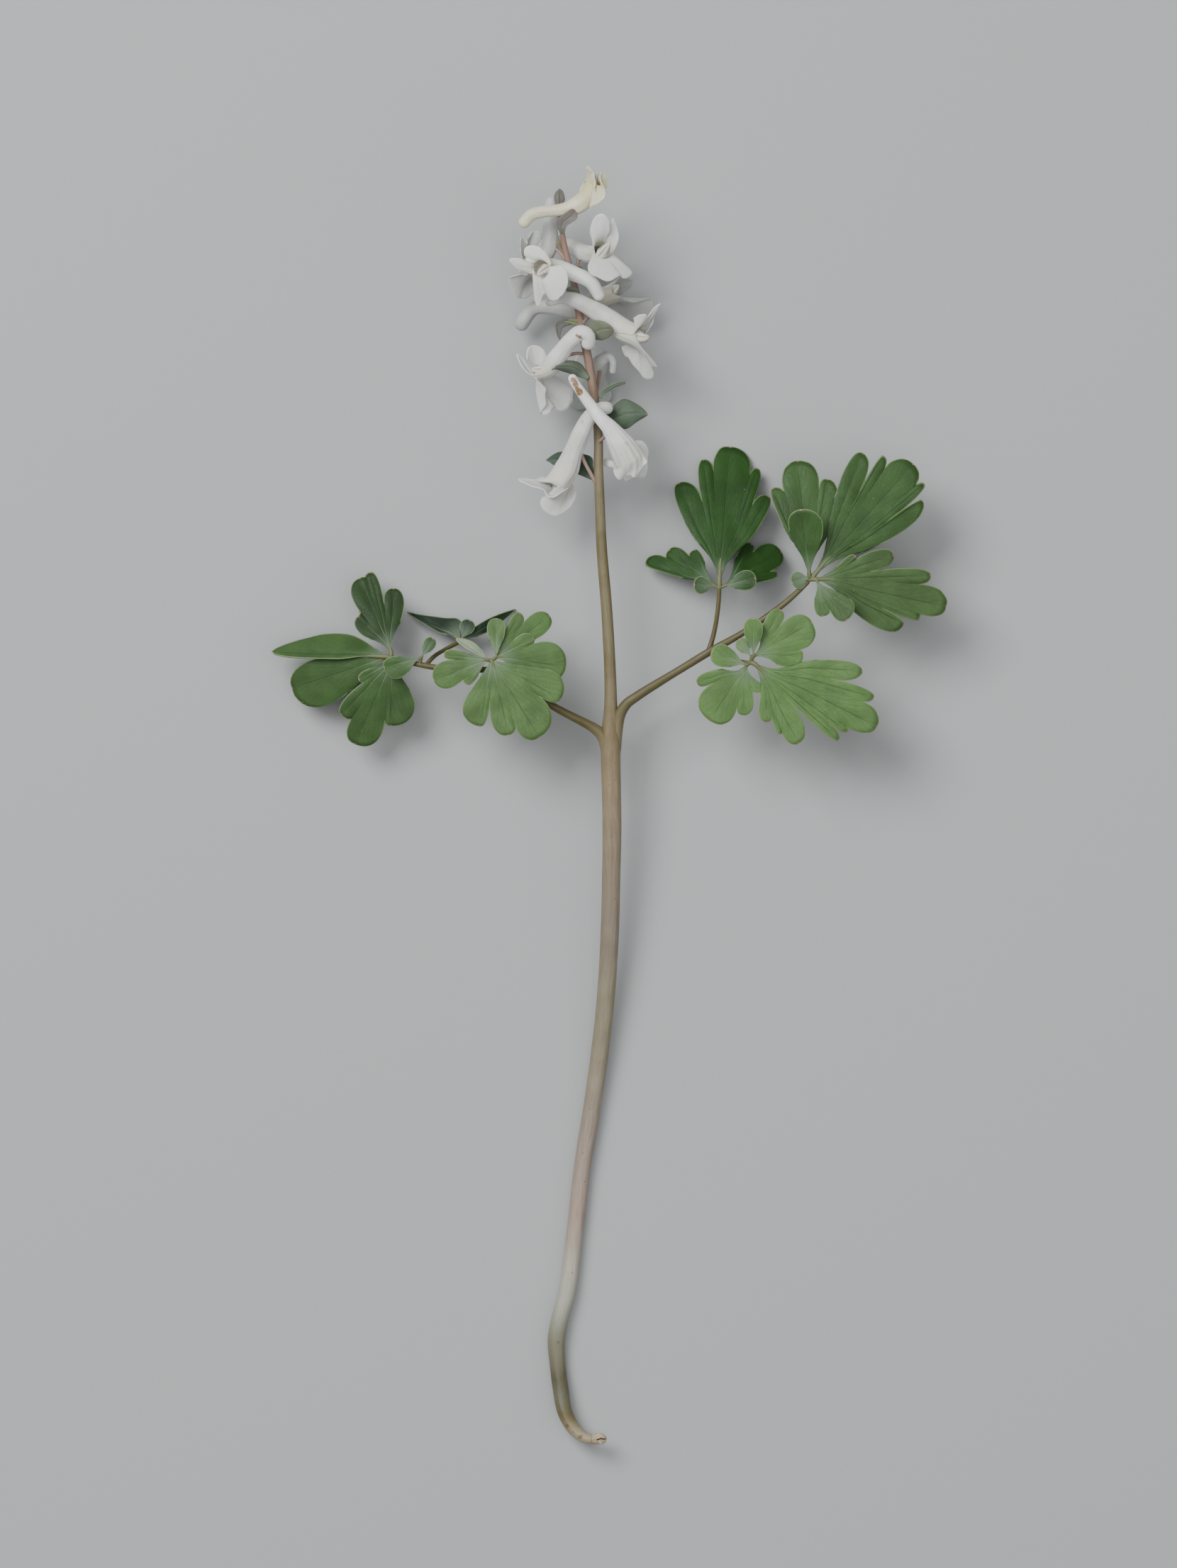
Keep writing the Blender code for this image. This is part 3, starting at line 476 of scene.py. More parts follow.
leaves = {
    "leaf_a_middle": [
        {"base": (21.8, 44.5, 11.0), "slope": (0.0, -0.27), "droop": 0.0048,
         "lobes": [(59.7, 19.3), (71.0, 23.6), (85.2, 26.7), (97.2, 24.2), (112.4, 20.9)],
         "cuts": [(52.9, 9.0), (66.6, 16.2), (73.8, 21.6), (93.0, 21.8), (102.0, 15.8),
                  (121.0, 7.7)]}],
    "leaf_a_left": [
        {"base": (20.7, 43.6, 10.6), "slope": (0.34, -0.42), "droop": 0.004,
         "lobes": [(118, 8.0), (141, 11.2), (162, 14.1)],
         "cuts": [(110, 5.0), (129, 7.4), (149, 10.6), (166, 6.0)]},
        {"base": (20.7, 43.5, 11.0), "slope": (-0.35, 0.0), "droop": 0.0,
         "lobes": [(178, 4.0)], "cuts": [(138, 1.8), (218, 1.8)]}],
    "leaf_a_right": [
        {"base": (22.9, 43.6, 10.6), "slope": (-0.34, -0.42), "droop": 0.004,
         "lobes": [(11.7, 10.6), (31, 13.0), (57, 9.8)],
         "cuts": [(5, 5.6), (17.6, 9.3), (49.9, 8.6), (68, 5.8)]},
        {"base": (22.9, 43.5, 11.0), "slope": (0.32, 0.0), "droop": 0.0,
         "lobes": [(14, 6.2)], "cuts": [(-16, 2.4), (44, 2.4)]}],
    "leaf_b_left": [
        {"base": (39.2, 45.2, 18.6), "slope": (0.04, -0.17), "droop": 0.002,
         "lobes": [(79.4, 19.4), (95.5, 22.7), (112.5, 18.6)],
         "cuts": [(66, 8.2), (83.6, 17.2), (106.4, 17.0), (117.0, 10.6)]},
        {"base": (39.2, 45.3, 19.0), "slope": (0.0, 0.20), "droop": -0.004,
         "lobes": [(98, 12.9)], "cuts": [(72, 7.2), (114, 9.4)]},
        {"base": (39.1, 45.1, 18.8), "slope": (0.0, 0.0), "droop": 0.0,
         "lobes": [(-160, 3.6)], "cuts": [(-205, 1.8), (-115, 1.8)]}],
    "leaf_b_middle": [
        {"base": (40.3, 45.6, 18.4), "slope": (-0.05, -0.06), "droop": 0.001,
         "lobes": [(35.0, 25.4), (39.4, 27.8), (48.2, 28.9), (60.2, 26.8), (68.4, 25.5)],
         "cuts": [(24.5, 12.0), (36.4, 17.4), (41.4, 25.8), (56.7, 24.4), (61.6, 18.3),
                  (75.4, 14.2)]}],
    "leaf_b_right": [
        {"tone": "right b", "base": (40.6, 44.6, 18.6), "slope": (-0.10, 0.10),
         "shape": {"pinch": 0.62}, "droop": 0.001,
         "lobes": [(-27.0, 19.3), (-21.6, 21.5), (-11.6, 26.0), (2.0, 22.4), (17.5, 15.8),
                   (32.5, 8.8)],
         "cuts": [(-41, 9.0), (-23.6, 13.7), (-18.6, 21.2), (-2.3, 19.8), (8.1, 10.4),
                  (28.0, 8.6), (42.0, 4.4)]},
        {"tone": "right b", "base": (40.6, 44.4, 19.0), "slope": (0.12, -0.10),
         "shape": {"pinch": 0.62}, "droop": 0.0,
         "lobes": [(-80, 7.2), (-53, 9.8)], "cuts": [(-96, 4.0), (-66, 6.4), (-30, 7.4)]}],
    "leaf_c_middle": [
        {"base": (28.6, 28.0, 20.0), "slope": (-0.02, 0.02), "droop": 0.001,
         "lobes": [(-77, 11.5), (-70.5, 14.5), (-61, 17.6), (-42.2, 22.0), (-36, 22.3),
                   (-27, 26.6), (-15.5, 24.1), (-3.6, 20.9)],
         "cuts": [(-90, 5.6), (-73, 10.6), (-68.6, 14.0), (-46.4, 7.4), (-38.9, 18.2),
                  (-34.2, 21.2), (-19.0, 21.7), (-10.8, 14.5), (4.0, 9.5)]}],
    "leaf_c_left": [
        {"base": (27.0, 27.8, 19.6), "slope": (0.06, 0.10), "droop": 0.002,
         "lobes": [(-160.5, 10.3), (-124, 13.0), (-94.4, 9.8), (-65, 5.8)],
         "cuts": [(-172, 5.6), (-152.3, 7.4), (-102.8, 8.4), (-77, 4.6), (-48, 3.2)]},
        {"base": (27.0, 27.9, 20.0), "slope": (-0.10, 0.0), "droop": 0.0,
         "lobes": [(160, 7.4)], "cuts": [(134, 3.8), (187, 3.2)]}],
    "leaf_c_right": [
        {"base": (28.3, 29.5, 20.1), "slope": (-0.06, -0.02), "droop": 0.001,
         "lobes": [(2.2, 9.7), (30.5, 13.2), (60, 10.5)],
         "cuts": [(-19, 4.8), (8.4, 8.9), (49.3, 7.7), (74, 5.2)]},
        {"base": (28.3, 29.6, 20.5), "slope": (0.0, 0.22), "droop": 0.0,
         "lobes": [(91, 7.4)], "cuts": [(68, 3.4), (114, 3.0)]},
        {"base": (27.9, 29.5, 19.8), "slope": (0.10, -0.08), "droop": 0.0,
         "lobes": [(126, 4.2)], "cuts": [(100, 2.0), (156, 2.0)]}],
    "leaf_d_middle": [
        {"base": (-22.7, 28.8, 18.5), "slope": (-0.02, 0.03), "shape": {"pinch": 1.0},
         "droop": 0.001,
         "lobes": [(-100.0, 13.1), (-77.0, 15.0), (-58.2, 17.7), (-29.4, 15.5)],
         "cuts": [(-124, 8.6), (-92.6, 7.6), (-70.4, 13.3), (-36.8, 11.4), (-9.0, 10.5)]}],
    "leaf_d_left": [
        {"base": (-23.7, 28.9, 18.3), "slope": (0.14, 0.08), "shape": {"pinch": 1.0},
         "droop": 0.002,
         "lobes": [(-186.7, 8.4), (-158.5, 11.0), (-131.7, 6.2)],
         "cuts": [(-199, 5.2), (-180.4, 6.2), (-139, 5.8), (-118, 3.8)]},
        {"base": (-23.7, 29.0, 18.7), "slope": (-0.05, -0.42), "shape": {"pinch": 1.0},
         "droop": 0.0,
         "tone": "underside", "rim": [(112, 1.5), (125, 3.6), (131, 4.8), (140, 6.4), (146, 7.2),
                                      (150, 6.2), (152, 4.4), (152, 2.8), (154, 1.2)]}],
    "leaf_d_right": [
        {"base": (-21.7, 29.4, 18.2), "slope": (-0.10, 0.06), "shape": {"pinch": 1.0},
         "droop": 0.002,
         "lobes": [(-7.5, 13.6), (27.5, 8.2)], "cuts": [(-30, 6.8), (20.5, 7.2), (45, 4.8)]},
        {"base": (-21.7, 29.5, 17.9), "slope": (-0.16, -0.34), "shape": {"pinch": 1.0},
         "droop": 0.0,
         "lobes": [(38.1, 13.1), (62.3, 9.7)], "cuts": [(24, 7.0), (52.2, 8.0), (72, 4.8)]},
        {"base": (-21.8, 29.6, 18.5), "slope": (0.0, -0.28), "shape": {"pinch": 1.0}, "droop": 0.0,
         "lobes": [(90, 7.4)], "cuts": [(68, 3.2), (112, 3.2)]}],
    "leaf_e_left": [
        {"base": (-43.4, 29.6, 10.8), "slope": (0.06, -0.75), "droop": 0.004,
         "rim": [(128, 2.2), (141, 5.4), (150, 8.9), (160, 13.0), (167, 16.2), (173, 20.0),
                 (177.5, 22.6), (179.5, 20.8), (180.8, 17.2), (182, 12.0), (184, 7.0),
                 (190, 2.6)]},
        {"base": (-43.0, 29.6, 10.4), "slope": (0.10, 0.12), "droop": 0.005,
         "shape": {"pinch": 0.9}, "lobes": [(-162, 20.0)], "cuts": [(-180, 9.6), (-138, 9.0)]}],
    "leaf_e_middle": [
        {"base": (-42.3, 28.7, 10.8), "slope": (-0.10, 0.16), "shape": {"pinch": 1.0},
         "droop": 0.003,
         "lobes": [(-151, 7.4), (-133.6, 14.4), (-114.2, 17.8), (-91.0, 12.6)],
         "cuts": [(-162, 4.4), (-143.6, 6.8), (-125.4, 13.6), (-96.7, 11.6), (-58, 6.4)]}],
    "leaf_e_upper": [
        {"tone": "shaded upper e", "base": (-42.4, 30.6, 10.4), "slope": (-0.06, -0.22),
         "shape": {"pinch": 0.62}, "droop": 0.004,
         "lobes": [(88.5, 12.5), (105.0, 16.2), (113.5, 15.8), (133.0, 9.6)],
         "cuts": [(73.0, 6.0), (99.0, 9.4), (109.4, 15.3), (128.0, 10.2), (152, 4.6)]}],
    "leaf_e_small": [
        {"base": (-36.6, 29.4, 13.2), "slope": (0.05, 0.0), "droop": 0.0,
         "lobes": [(-165, 7.5)], "cuts": [(-183, 4.4), (-130, 3.6)]},
        {"base": (-36.4, 29.5, 13.0), "slope": (0.0, 0.15), "droop": 0.0,
         "lobes": [(59, 4.4)], "cuts": [(34, 2.0), (84, 2.0)]}],
    "leaf_f": [
        {"base": (-28.8, 32.9, 6.9), "slope": (0.22, -0.42), "droop": 0.006,
         "rim": [(78, 3.4), (100, 4.4), (124, 5.3), (142, 7.8), (150, 10.6), (152.4, 12.2),
                 (154, 10.6), (156, 8.2), (161, 5.1), (169, 3.0)]},
        {"base": (-28.7, 33.0, 7.2), "slope": (0.0, -0.40), "droop": 0.0,
         "lobes": [(66, 4.2)], "cuts": [(34, 2.0), (98, 2.0)]},
        {"base": (-28.6, 32.8, 6.7), "slope": (-0.30, -0.40), "droop": 0.004,
         "rim": [(12, 3.2), (19, 5.4), (25, 8.2), (28.8, 11.0), (30.8, 12.3), (33.5, 10.8),
                 (39, 7.4), (46, 4.4), (56, 2.6)]}]}


# where the blades of one leaf meet their stalk
leafHubs = {"leaf_a": (21.8, 43.0, 10.9), "leaf_b": (39.4, 44.6, 18.4),
            "leaf_c": (27.7, 28.4, 19.3),
            "leaf_d": (-22.7, 28.6, 18.0), "leaf_e": (-42.4, 29.4, 10.7),
            "leaf_e_small": (-36.7, 28.3, 12.45), "leaf_f": (-29.15, 32.5, 7.0)}


# rows: share of the longest lobe, mm under the blade and share of the tube's width
jointShape = {"width": 0.26, "growth": 0.010, "tube": {"around": 12, "step": 0.3, "bumps": 0.05},
              "rows": [(0.0, 0.05, 0.92), (0.07, 0.08, 0.7), (0.16, 0.16, 0.4)]}


# a short tube from the leaf's hub to under the foot of each blade
def makeLeafJoints(skin):
    shape = jointShape
    for node, blades in leaves.items():
        hub = Vector(leafHubs.get(node) or leafHubs[node[:6]])
        for part, plan in enumerate(blades):
            base = Vector(plan["base"])
            edges = plan.get("cuts") or [max(plan["rim"], key=lambda spot: spot[1])]
            middle = math.radians(0.5 * (edges[0][0] + edges[-1][0]))
            longest = max(length for _angle, length in plan.get("lobes") or plan["rim"])
            ahead = Vector((math.cos(middle), math.sin(middle), 0.0))
            ahead.z = plan["slope"][0] * ahead.x + plan["slope"][1] * ahead.y
            size = shape["width"] + shape["growth"] * longest
            line = [(*hub, size)]
            for reach, under, width in shape["rows"]:
                spot = base + ahead * reach * longest - Vector((0, 0, under))
                line.append((*spot, size * width))
            addPiece("{}_joint_{}".format(node, part + 1), formTube(line, **shape["tube"]),
                     skin, node)


def makeLeaves():
    for number, (node, blades) in enumerate(leaves.items()):
        for part, plan in enumerate(blades):
            form, thickness = formBlade(plan, number * 3.7 + part)
            addPiece("{}_blade_{}".format(node, part + 1), form,
                     leafMaterials[plan.get("tone", node[5])], node, thickness)


# a closed tube along a line of x, y, z and radius, with rounded ends
def formTube(points, around, step, dome=1.0, ridges=0.0, bumps=0.0):
    rough = smoothLine(points, 10)
    total = lengthOf(rough)
    line = followLine(evenLine(rough, max(6, int(total / step))))
    caps = 4
    rows = len(line) - 1 + 2 * caps

    def place(i, j):
        k = min(max(j - caps, 0), len(line) - 1)
        here, radius, forward, upward, sideways = line[k]
        if j < caps:
            turn = 0.5 * math.pi * j / caps
            here = here - forward * radius * dome * math.cos(turn)
            radius *= math.sin(turn)
        elif j > rows - caps:
            turn = 0.5 * math.pi * (rows - j) / caps
            here = here + forward * radius * dome * math.cos(turn)
            radius *= math.sin(turn)
        turn = 2 * math.pi * i / around
        radius *= 1 + ridges * math.cos(5 * turn) + bumps * wobble(i % around, k * 0.35, 2.0, 3.0)
        return here + (sideways * math.cos(turn) + upward * math.sin(turn)) * radius

    def paint(near, i, j):
        along = total * min(max((j - caps) / (len(line) - 1), 0.0), 1.0)
        return (i / around, along), (i / around, along)

    return formSheet(around, rows, place, paint)


stemLine = [
    (-8.7, 114.4, 17.6, 0.42), (-8.9, 112.4, 15.8, 0.48), (-8.2, 108.4, 14.6, 0.62),
    (-6.3, 101.0, 14.2, 0.72), (-5.1, 93.3, 14.0, 0.82), (-3.7, 86.8, 14.0, 0.86),
    (-2.0, 74.6, 13.8, 0.90), (-1.8, 65.0, 13.6, 0.94), (-1.2, 50.7, 13.3, 1.05),
    (-0.2, 38.4, 12.9, 1.12), (0.45, 26.2, 12.4, 1.18), (0.55, 19.6, 12.0, 1.32),
    (0.45, 15.6, 11.6, 1.7), (0.5, 12.2, 11.3, 1.92), (0.75, 0.0, 10.0, 1.88),
    (0.7, -12.0, 8.4, 1.84), (0.3, -26.1, 6.2, 1.8), (-0.5, -38.3, 4.3, 1.78),
    (-1.9, -50.6, 2.7, 1.74), (-3.5, -61.3, 1.95, 1.70), (-5.2, -72.1, 1.74, 1.64),
    (-6.4, -82.7, 1.70, 1.60), (-7.8, -94.0, 1.73, 1.62), (-9.2, -99.6, 1.77, 1.66),
    (-10.1, -104.6, 1.80, 1.70), (-9.9, -109.0, 1.86, 1.58), (-9.3, -114.0, 2.5, 1.56),
    (-8.5, -118.4, 3.5, 1.50), (-6.9, -121.6, 4.3, 1.34), (-4.9, -123.4, 4.9, 1.10),
    (-3.2, -123.9, 5.2, 0.98)]
cutEnd = {"from": (-3.6, -123.9, 5.2), "to": (-0.25, -123.8, 5.5), "wide": 1.06, "tall": 0.94,
          "around": 48, "rows": 30, "blunt": 3.2, "slit": 0.42, "slitWidth": 0.2,
          "slitWander": 0.22, "lumps": 0.075, "grain": 0.035}
flowerStalks = [
    [(-8.2, 106.9, 14.5, 0.36), (-9.3, 108.4, 14.1, 0.32), (-10.8, 109.6, 13.3, 0.34)],
    [(-6.4, 101.4, 14.4, 0.36), (-6.9, 102.6, 15.4, 0.34), (-7.5, 103.6, 17.1, 0.36)],
    [(-6.9, 103.6, 13.9, 0.34), (-6.2, 105.4, 12.9, 0.32), (-5.8, 107.0, 12.0, 0.34),
     (-5.6, 108.6, 11.3, 0.4)],
    [(-5.8, 97.6, 13.8, 0.36), (-6.0, 97.7, 11.6, 0.34), (-6.1, 97.6, 9.2, 0.42)],
    [(-5.2, 94.4, 14.3, 0.36), (-4.2, 95.4, 15.0, 0.34), (-3.1, 96.6, 16.4, 0.42)],
    [(-4.1, 88.6, 14.1, 0.36), (-6.0, 88.8, 13.7, 0.34), (-7.9, 88.4, 14.0, 0.36)],
    [(-2.6, 79.6, 13.6, 0.38), (-2.2, 81.6, 12.4, 0.34), (-1.8, 84.0, 10.6, 0.36),
     (-1.5, 86.3, 9.0, 0.42)],
    [(-2.2, 63.2, 13.5, 0.44), (-3.3, 65.2, 14.0, 0.38), (-4.3, 67.0, 14.4, 0.36),
     (-5.2, 68.9, 14.9, 0.40)],
    [(-1.9, 71.4, 14.2, 0.38), (-0.9, 72.2, 15.6, 0.34), (0.0, 73.0, 16.9, 0.36)]]
leafStalks = {
    "right_leaf_stalk": {
        "main": [(0.8, 5.0, 10.1, 0.7), (1.3, 10.5, 10.9, 1.1), (1.6, 14.8, 11.6, 1.22),
                 (2.2, 18.0, 12.2, 1.14),
                 (3.6, 20.3, 12.8, 1.02), (5.6, 21.8, 13.3, 0.95), (8.9, 23.9, 14.2, 0.86),
                 (14.5, 27.3, 15.8, 0.76), (19.8, 30.5, 17.0, 0.78),
                 (26.8, 34.5, 17.3, 0.62), (34.4, 39.9, 17.8, 0.58), (38.8, 44.0, 18.3, 0.50)],
        "upper": [(19.6, 30.6, 16.9, 0.55), (20.6, 34.0, 15.8, 0.48), (21.4, 38.4, 13.2, 0.44),
                  (21.8, 43.0, 10.9, 0.42)],
        "lower": [(19.6, 30.3, 17.0, 0.55), (23.2, 29.2, 17.8, 0.50), (27.2, 28.2, 19.0, 0.46)]},
    "left_leaf_stalk": {
        "main": [(0.5, 3.0, 10.0, 0.7), (0.1, 8.0, 10.8, 1.1), (-0.35, 12.0, 11.5, 1.24),
                 (-1.5, 14.5, 12.1, 1.12), (-3.2, 15.9, 12.6, 0.98), (-5.6, 17.2, 13.2, 0.86),
                 (-10.6, 19.8, 14.3, 0.75), (-17.0, 23.8, 15.2, 0.70), (-22.0, 26.6, 15.1, 0.66),
                 (-27.4, 27.1, 14.4, 0.60), (-33.2, 27.4, 13.2, 0.58), (-38.0, 28.3, 12.0, 0.54),
                 (-42.2, 29.3, 10.9, 0.50)],
        "upper": [(-21.0, 26.2, 15.0, 0.50), (-22.0, 27.4, 16.4, 0.46), (-22.6, 28.5, 18.0, 0.44)],
        "lower": [(-35.6, 27.9, 12.7, 0.48), (-33.6, 30.0, 10.2, 0.42), (-29.6, 32.3, 7.2, 0.40)]}}

stemTones = [(-125.0, (168, 156, 134)), (-122.6, (150, 138, 110)), (-119.6, (98, 88, 56)),
             (-116.0, (96, 96, 76)), (-111.6, (70, 68, 44)), (-104.0, (120, 120, 100)),
             (-97.0, (166, 168, 156)), (-91.0, (176, 174, 158)),
             (-80.0, (164, 144, 132)), (-70.0, (154, 140, 128)), (-43.0, (134, 127, 104)),
             (-22.0, (130, 119, 104)), (4.0, (138, 124, 98)), (14.0, (120, 108, 78)),
             (30.0, (108, 99, 68)), (55.0, (106, 98, 66)), (72.0, (116, 104, 80)),
             (84.0, (136, 110, 96)), (100.0, (142, 110, 98)), (115.0, (146, 116, 104))]


# marks: centre, radius, raggedness, strength and colour of one wound and two flecks
stemFinish = {"rough": 0.46, "spots": (190.0, 2600.0), "streaks": (26.0, 0.22, 4.0),
              "streak": (220, 212, 206), "patch": (164, 156, 132), "patchShare": 0.16,
              "dot": (84, 54, 44), "dotScale": 900.0, "groove": (122, 66, 56), "grooveAt": 0.0008,
              "marks": [((-9.8, -105.0, 3.2), 0.4, 0.5, 0.45, (72, 70, 64)),
                        ((-7.9, -121.3, 5.2), 0.5, 1.4, 0.6, (98, 64, 32)),
                        ((-5.4, -123.4, 5.9), 0.5, 1.4, 0.6, (98, 64, 32))],
              "bump": (0.5, 0.00018), "roughness": (0.38, 0.56),
              "shader": {"Specular IOR Level": 0.4, "Subsurface Weight": 0.08,
                         "Subsurface Scale": 0.0008}}
stalkFinish = {"rough": 0.45, "spots": (240.0, 3000.0), "streaks": (14.0, 0.4, 3.0),
               "bump": (0.4, 0.00014), "roughness": (0.4, 0.55),
               "shader": {"Specular IOR Level": 0.4, "Subsurface Weight": 0.06,
                          "Subsurface Scale": 0.0006}}
# sunk is the dark brown of the slit, painted shade in that recess
cutFinish = {"rough": 0.7, "spots": (900.0, 4200.0), "pale": (196, 184, 160),
             "tan": (164, 148, 120), "brown": (120, 100, 74), "sunk": (62, 50, 34),
             "bump": (0.6, 0.00016), "shader": {"Specular IOR Level": 0.25}}


def stemMaterial():
    plan = stemFinish
    material, tree, shader = newMaterial("stem_skin", plan["rough"])
    where = put(tree, "TexCoord", {}).outputs["Object"]
    split = partsOf(tree, where)
    half = -stemTones[0][0]  # the tones run from -half to half, in mm along the stem
    share = put(tree, "MapRange", {0: split[1], 1: -half * mm, 2: half * mm}).outputs[0]
    ramp = put(tree, "ValToRGB", {0: share})
    stops = ramp.color_ramp.elements
    places = [(y + half) / (2 * half) for y, _colour in stemTones]
    stops[0].position, stops[1].position = places[0], places[-1]
    for place in places[1:-1]:
        stops.new(place)
    for stop, (_y, colour) in zip(stops, stemTones):
        stop.color = tone(*colour)

    spots = spotsOf(tree, plan)
    streaks = streaksOf(tree, partsOf(tree, uvOf(tree, "lines")), plan)
    dark = blendTone(tree, 1.0, ramp.outputs[0], tone(*plan["streak"]), "MULTIPLY")
    streaked = times(tree, range01(tree, streaks, 0.34, 0.66, 0.0, 0.5),
                     range01(tree, split[1], -0.1, -0.08, 0.4, 1.0))
    body = blendTone(tree, streaked, ramp.outputs[0], dark)
    body = blendTone(tree, times(tree, spots["Patches"], plan["patchShare"]), body,
                     tone(*plan["patch"]))
    dots = put(tree, "TexVoronoi", {"Vector": where, "Scale": plan["dotScale"]}, feature="F1")
    dotMask = times(tree, range01(tree, dots.outputs["Distance"], 0.2, 0.08),
                    range01(tree, dots.outputs["Color"], 0.62, 0.75, 0.0, 0.5))
    body = blendTone(tree, dotMask, body, tone(*plan["dot"]))

    # a reddish groove below the leaves, then the wound and the flecks near the cut end
    aside = calc(tree, "ABSOLUTE", calc(tree, "SUBTRACT", split[0], plan["grooveAt"]))
    groove = times(tree, range01(tree, aside, 0.0004, 0.0001, 0.0, 0.22),
                   range01(tree, calc(tree, "ABSOLUTE", split[1]), 0.019, 0.011))
    body = blendTone(tree, groove, body, tone(*plan["groove"]))
    for centre, radius, ragged, strength, colour in plan["marks"]:
        mark = useGroup(tree, stain, {"Centre": [c * mm for c in centre], "Radius": radius * mm,
                                      "Ragged": ragged})[0]
        body = blendTone(tree, times(tree, mark, strength), body, tone(*colour))
    relief = calc(tree, "ADD", times(tree, streaks, 0.9), times(tree, spots["Grain"], 0.35))
    finishSkin(tree, shader, plan, body, relief, streaks)
    return material


def stalkMaterial(name, colour, warm, foot=None):
    plan = stalkFinish
    material, tree, shader = newMaterial(name, plan["rough"])
    uv = partsOf(tree, uvOf(tree, "lines"))
    streaks = streaksOf(tree, uv, plan)
    spots = spotsOf(tree, plan)
    body = blendTone(tree, range01(tree, streaks, 0.35, 0.65), tone(*colour), tone(*warm))
    body = blendTone(tree, times(tree, spots["Patches"], 0.3), body, shaded(colour, 1.25))
    if foot:  # the stem's own tone at the foot, gone by 17 mm
        body = blendTone(tree, range01(tree, uv[1], 17.0, 9.0), body, tone(*foot))
    relief = calc(tree, "ADD", streaks, times(tree, spots["Grain"], 0.4))
    finishSkin(tree, shader, plan, body, relief, streaks)
    return material


def cutMaterial():
    plan = cutFinish
    material, tree, shader = newMaterial("cut_end_skin", plan["rough"])
    sunk = partsOf(tree, uvOf(tree, "edges"))[0]
    spots = spotsOf(tree, plan)
    body = blendTone(tree, spots["Patches"], tone(*plan["pale"]), tone(*plan["tan"]))
    body = blendTone(tree, range01(tree, spots["Grain"], 0.4, 0.7, 0.0, 0.5), body,
                     tone(*plan["brown"]))
    # painted shade: the slit darkens to the sunk brown as it gets deeper
    body = blendTone(tree, range01(tree, sunk, 0.25, 0.8), body, tone(*plan["sunk"]))
    finishSkin(tree, shader, plan, body, spots["Grain"])
    return material


# the pale, drawn-together end of the stem with the slit across its hollow
def formCutEnd():
    plan = cutEnd
    start, end = Vector(plan["from"]), Vector(plan["to"])
    forward = (end - start).normalized()
    sideways = forward.cross(Vector((0.0, 0.0, 1.0))).normalized()
    upward = sideways.cross(forward)
    around, rows = plan["around"], plan["rows"]

    def sunkAt(turn, t):
        across = math.cos(turn) + plan["slitWander"] * wobble(t * 5, 0.0, 3.0, 1.0)
        depth = math.exp(-(across / plan["slitWidth"]) ** 2)
        return depth * ease(t, 0.3, 0.5) * (math.sin(turn) > 0)

    def place(i, j):
        t = 0.5 * (1 - math.cos(math.pi * j / rows))
        turn = 2 * math.pi * i / around
        full = (1 - abs(2 * t - 1) ** plan["blunt"]) ** 0.5
        lump = plan["lumps"] * wobble(3 * math.cos(turn), 3 * math.sin(turn) + 7 * t, 6.0, 1.0)
        grain = plan["grain"] * wobble(9 * math.cos(turn), 9 * math.sin(turn) + 20 * t, 9.0, 1.0)
        full *= 1 + 2.2 * lump + grain - plan["slit"] * sunkAt(turn, t)
        return (start.lerp(end, t) + sideways * (math.cos(turn) * plan["wide"] * full)
                + upward * (math.sin(turn) * plan["tall"] * full))

    def paint(near, i, j):
        t = 0.5 * (1 - math.cos(math.pi * j / rows))
        return (i / around, t), (sunkAt(2 * math.pi * i / around, t), 0.0)

    return formSheet(around, rows, place, paint)


stalkTones = {"flower": ((138, 113, 105), (154, 132, 120)), "leaf": ((78, 76, 44), (92, 80, 52)),
              "joint": ((98, 110, 72), (110, 108, 72)), "foot": (122, 110, 82)}
stemTube = {"around": 28, "step": 0.8, "dome": 0.35, "ridges": 0.018, "bumps": 0.03}
flowerStalkTube = {"around": 12, "step": 0.3, "bumps": 0.04}
leafStalkTube = {"around": 16, "step": 0.5, "ridges": 0.03, "bumps": 0.04}


def makeStems():
    addPiece("stem_axis", formTube(stemLine, **stemTube), stemMaterial(), "stem")
    addPiece("stem_cut_end", formCutEnd(), cutMaterial(), "stem")
    flowerSkin = stalkMaterial("flower_stalk_skin", *stalkTones["flower"])
    for number, points in enumerate(flowerStalks, start=1):
        addPiece("flower_stalk_{}".format(number), formTube(points, **flowerStalkTube),
                 flowerSkin, "stem")
    leafSkin = stalkMaterial("leaf_stalk_skin", *stalkTones["leaf"])
    footSkin = stalkMaterial("leaf_stalk_foot_skin", *stalkTones["leaf"], stalkTones["foot"])
    for node, stalk in leafStalks.items():
        for part, points in stalk.items():
            addPiece("{}_{}".format(node, part), formTube(points, **leafStalkTube),
                     footSkin if part == "main" else leafSkin, node)


makeLeaves()
makeLeafJoints(stalkMaterial("leaf_joint_skin", *stalkTones["joint"]))
print("leaf blades made")
makeStems()
print("stem and stalks made")


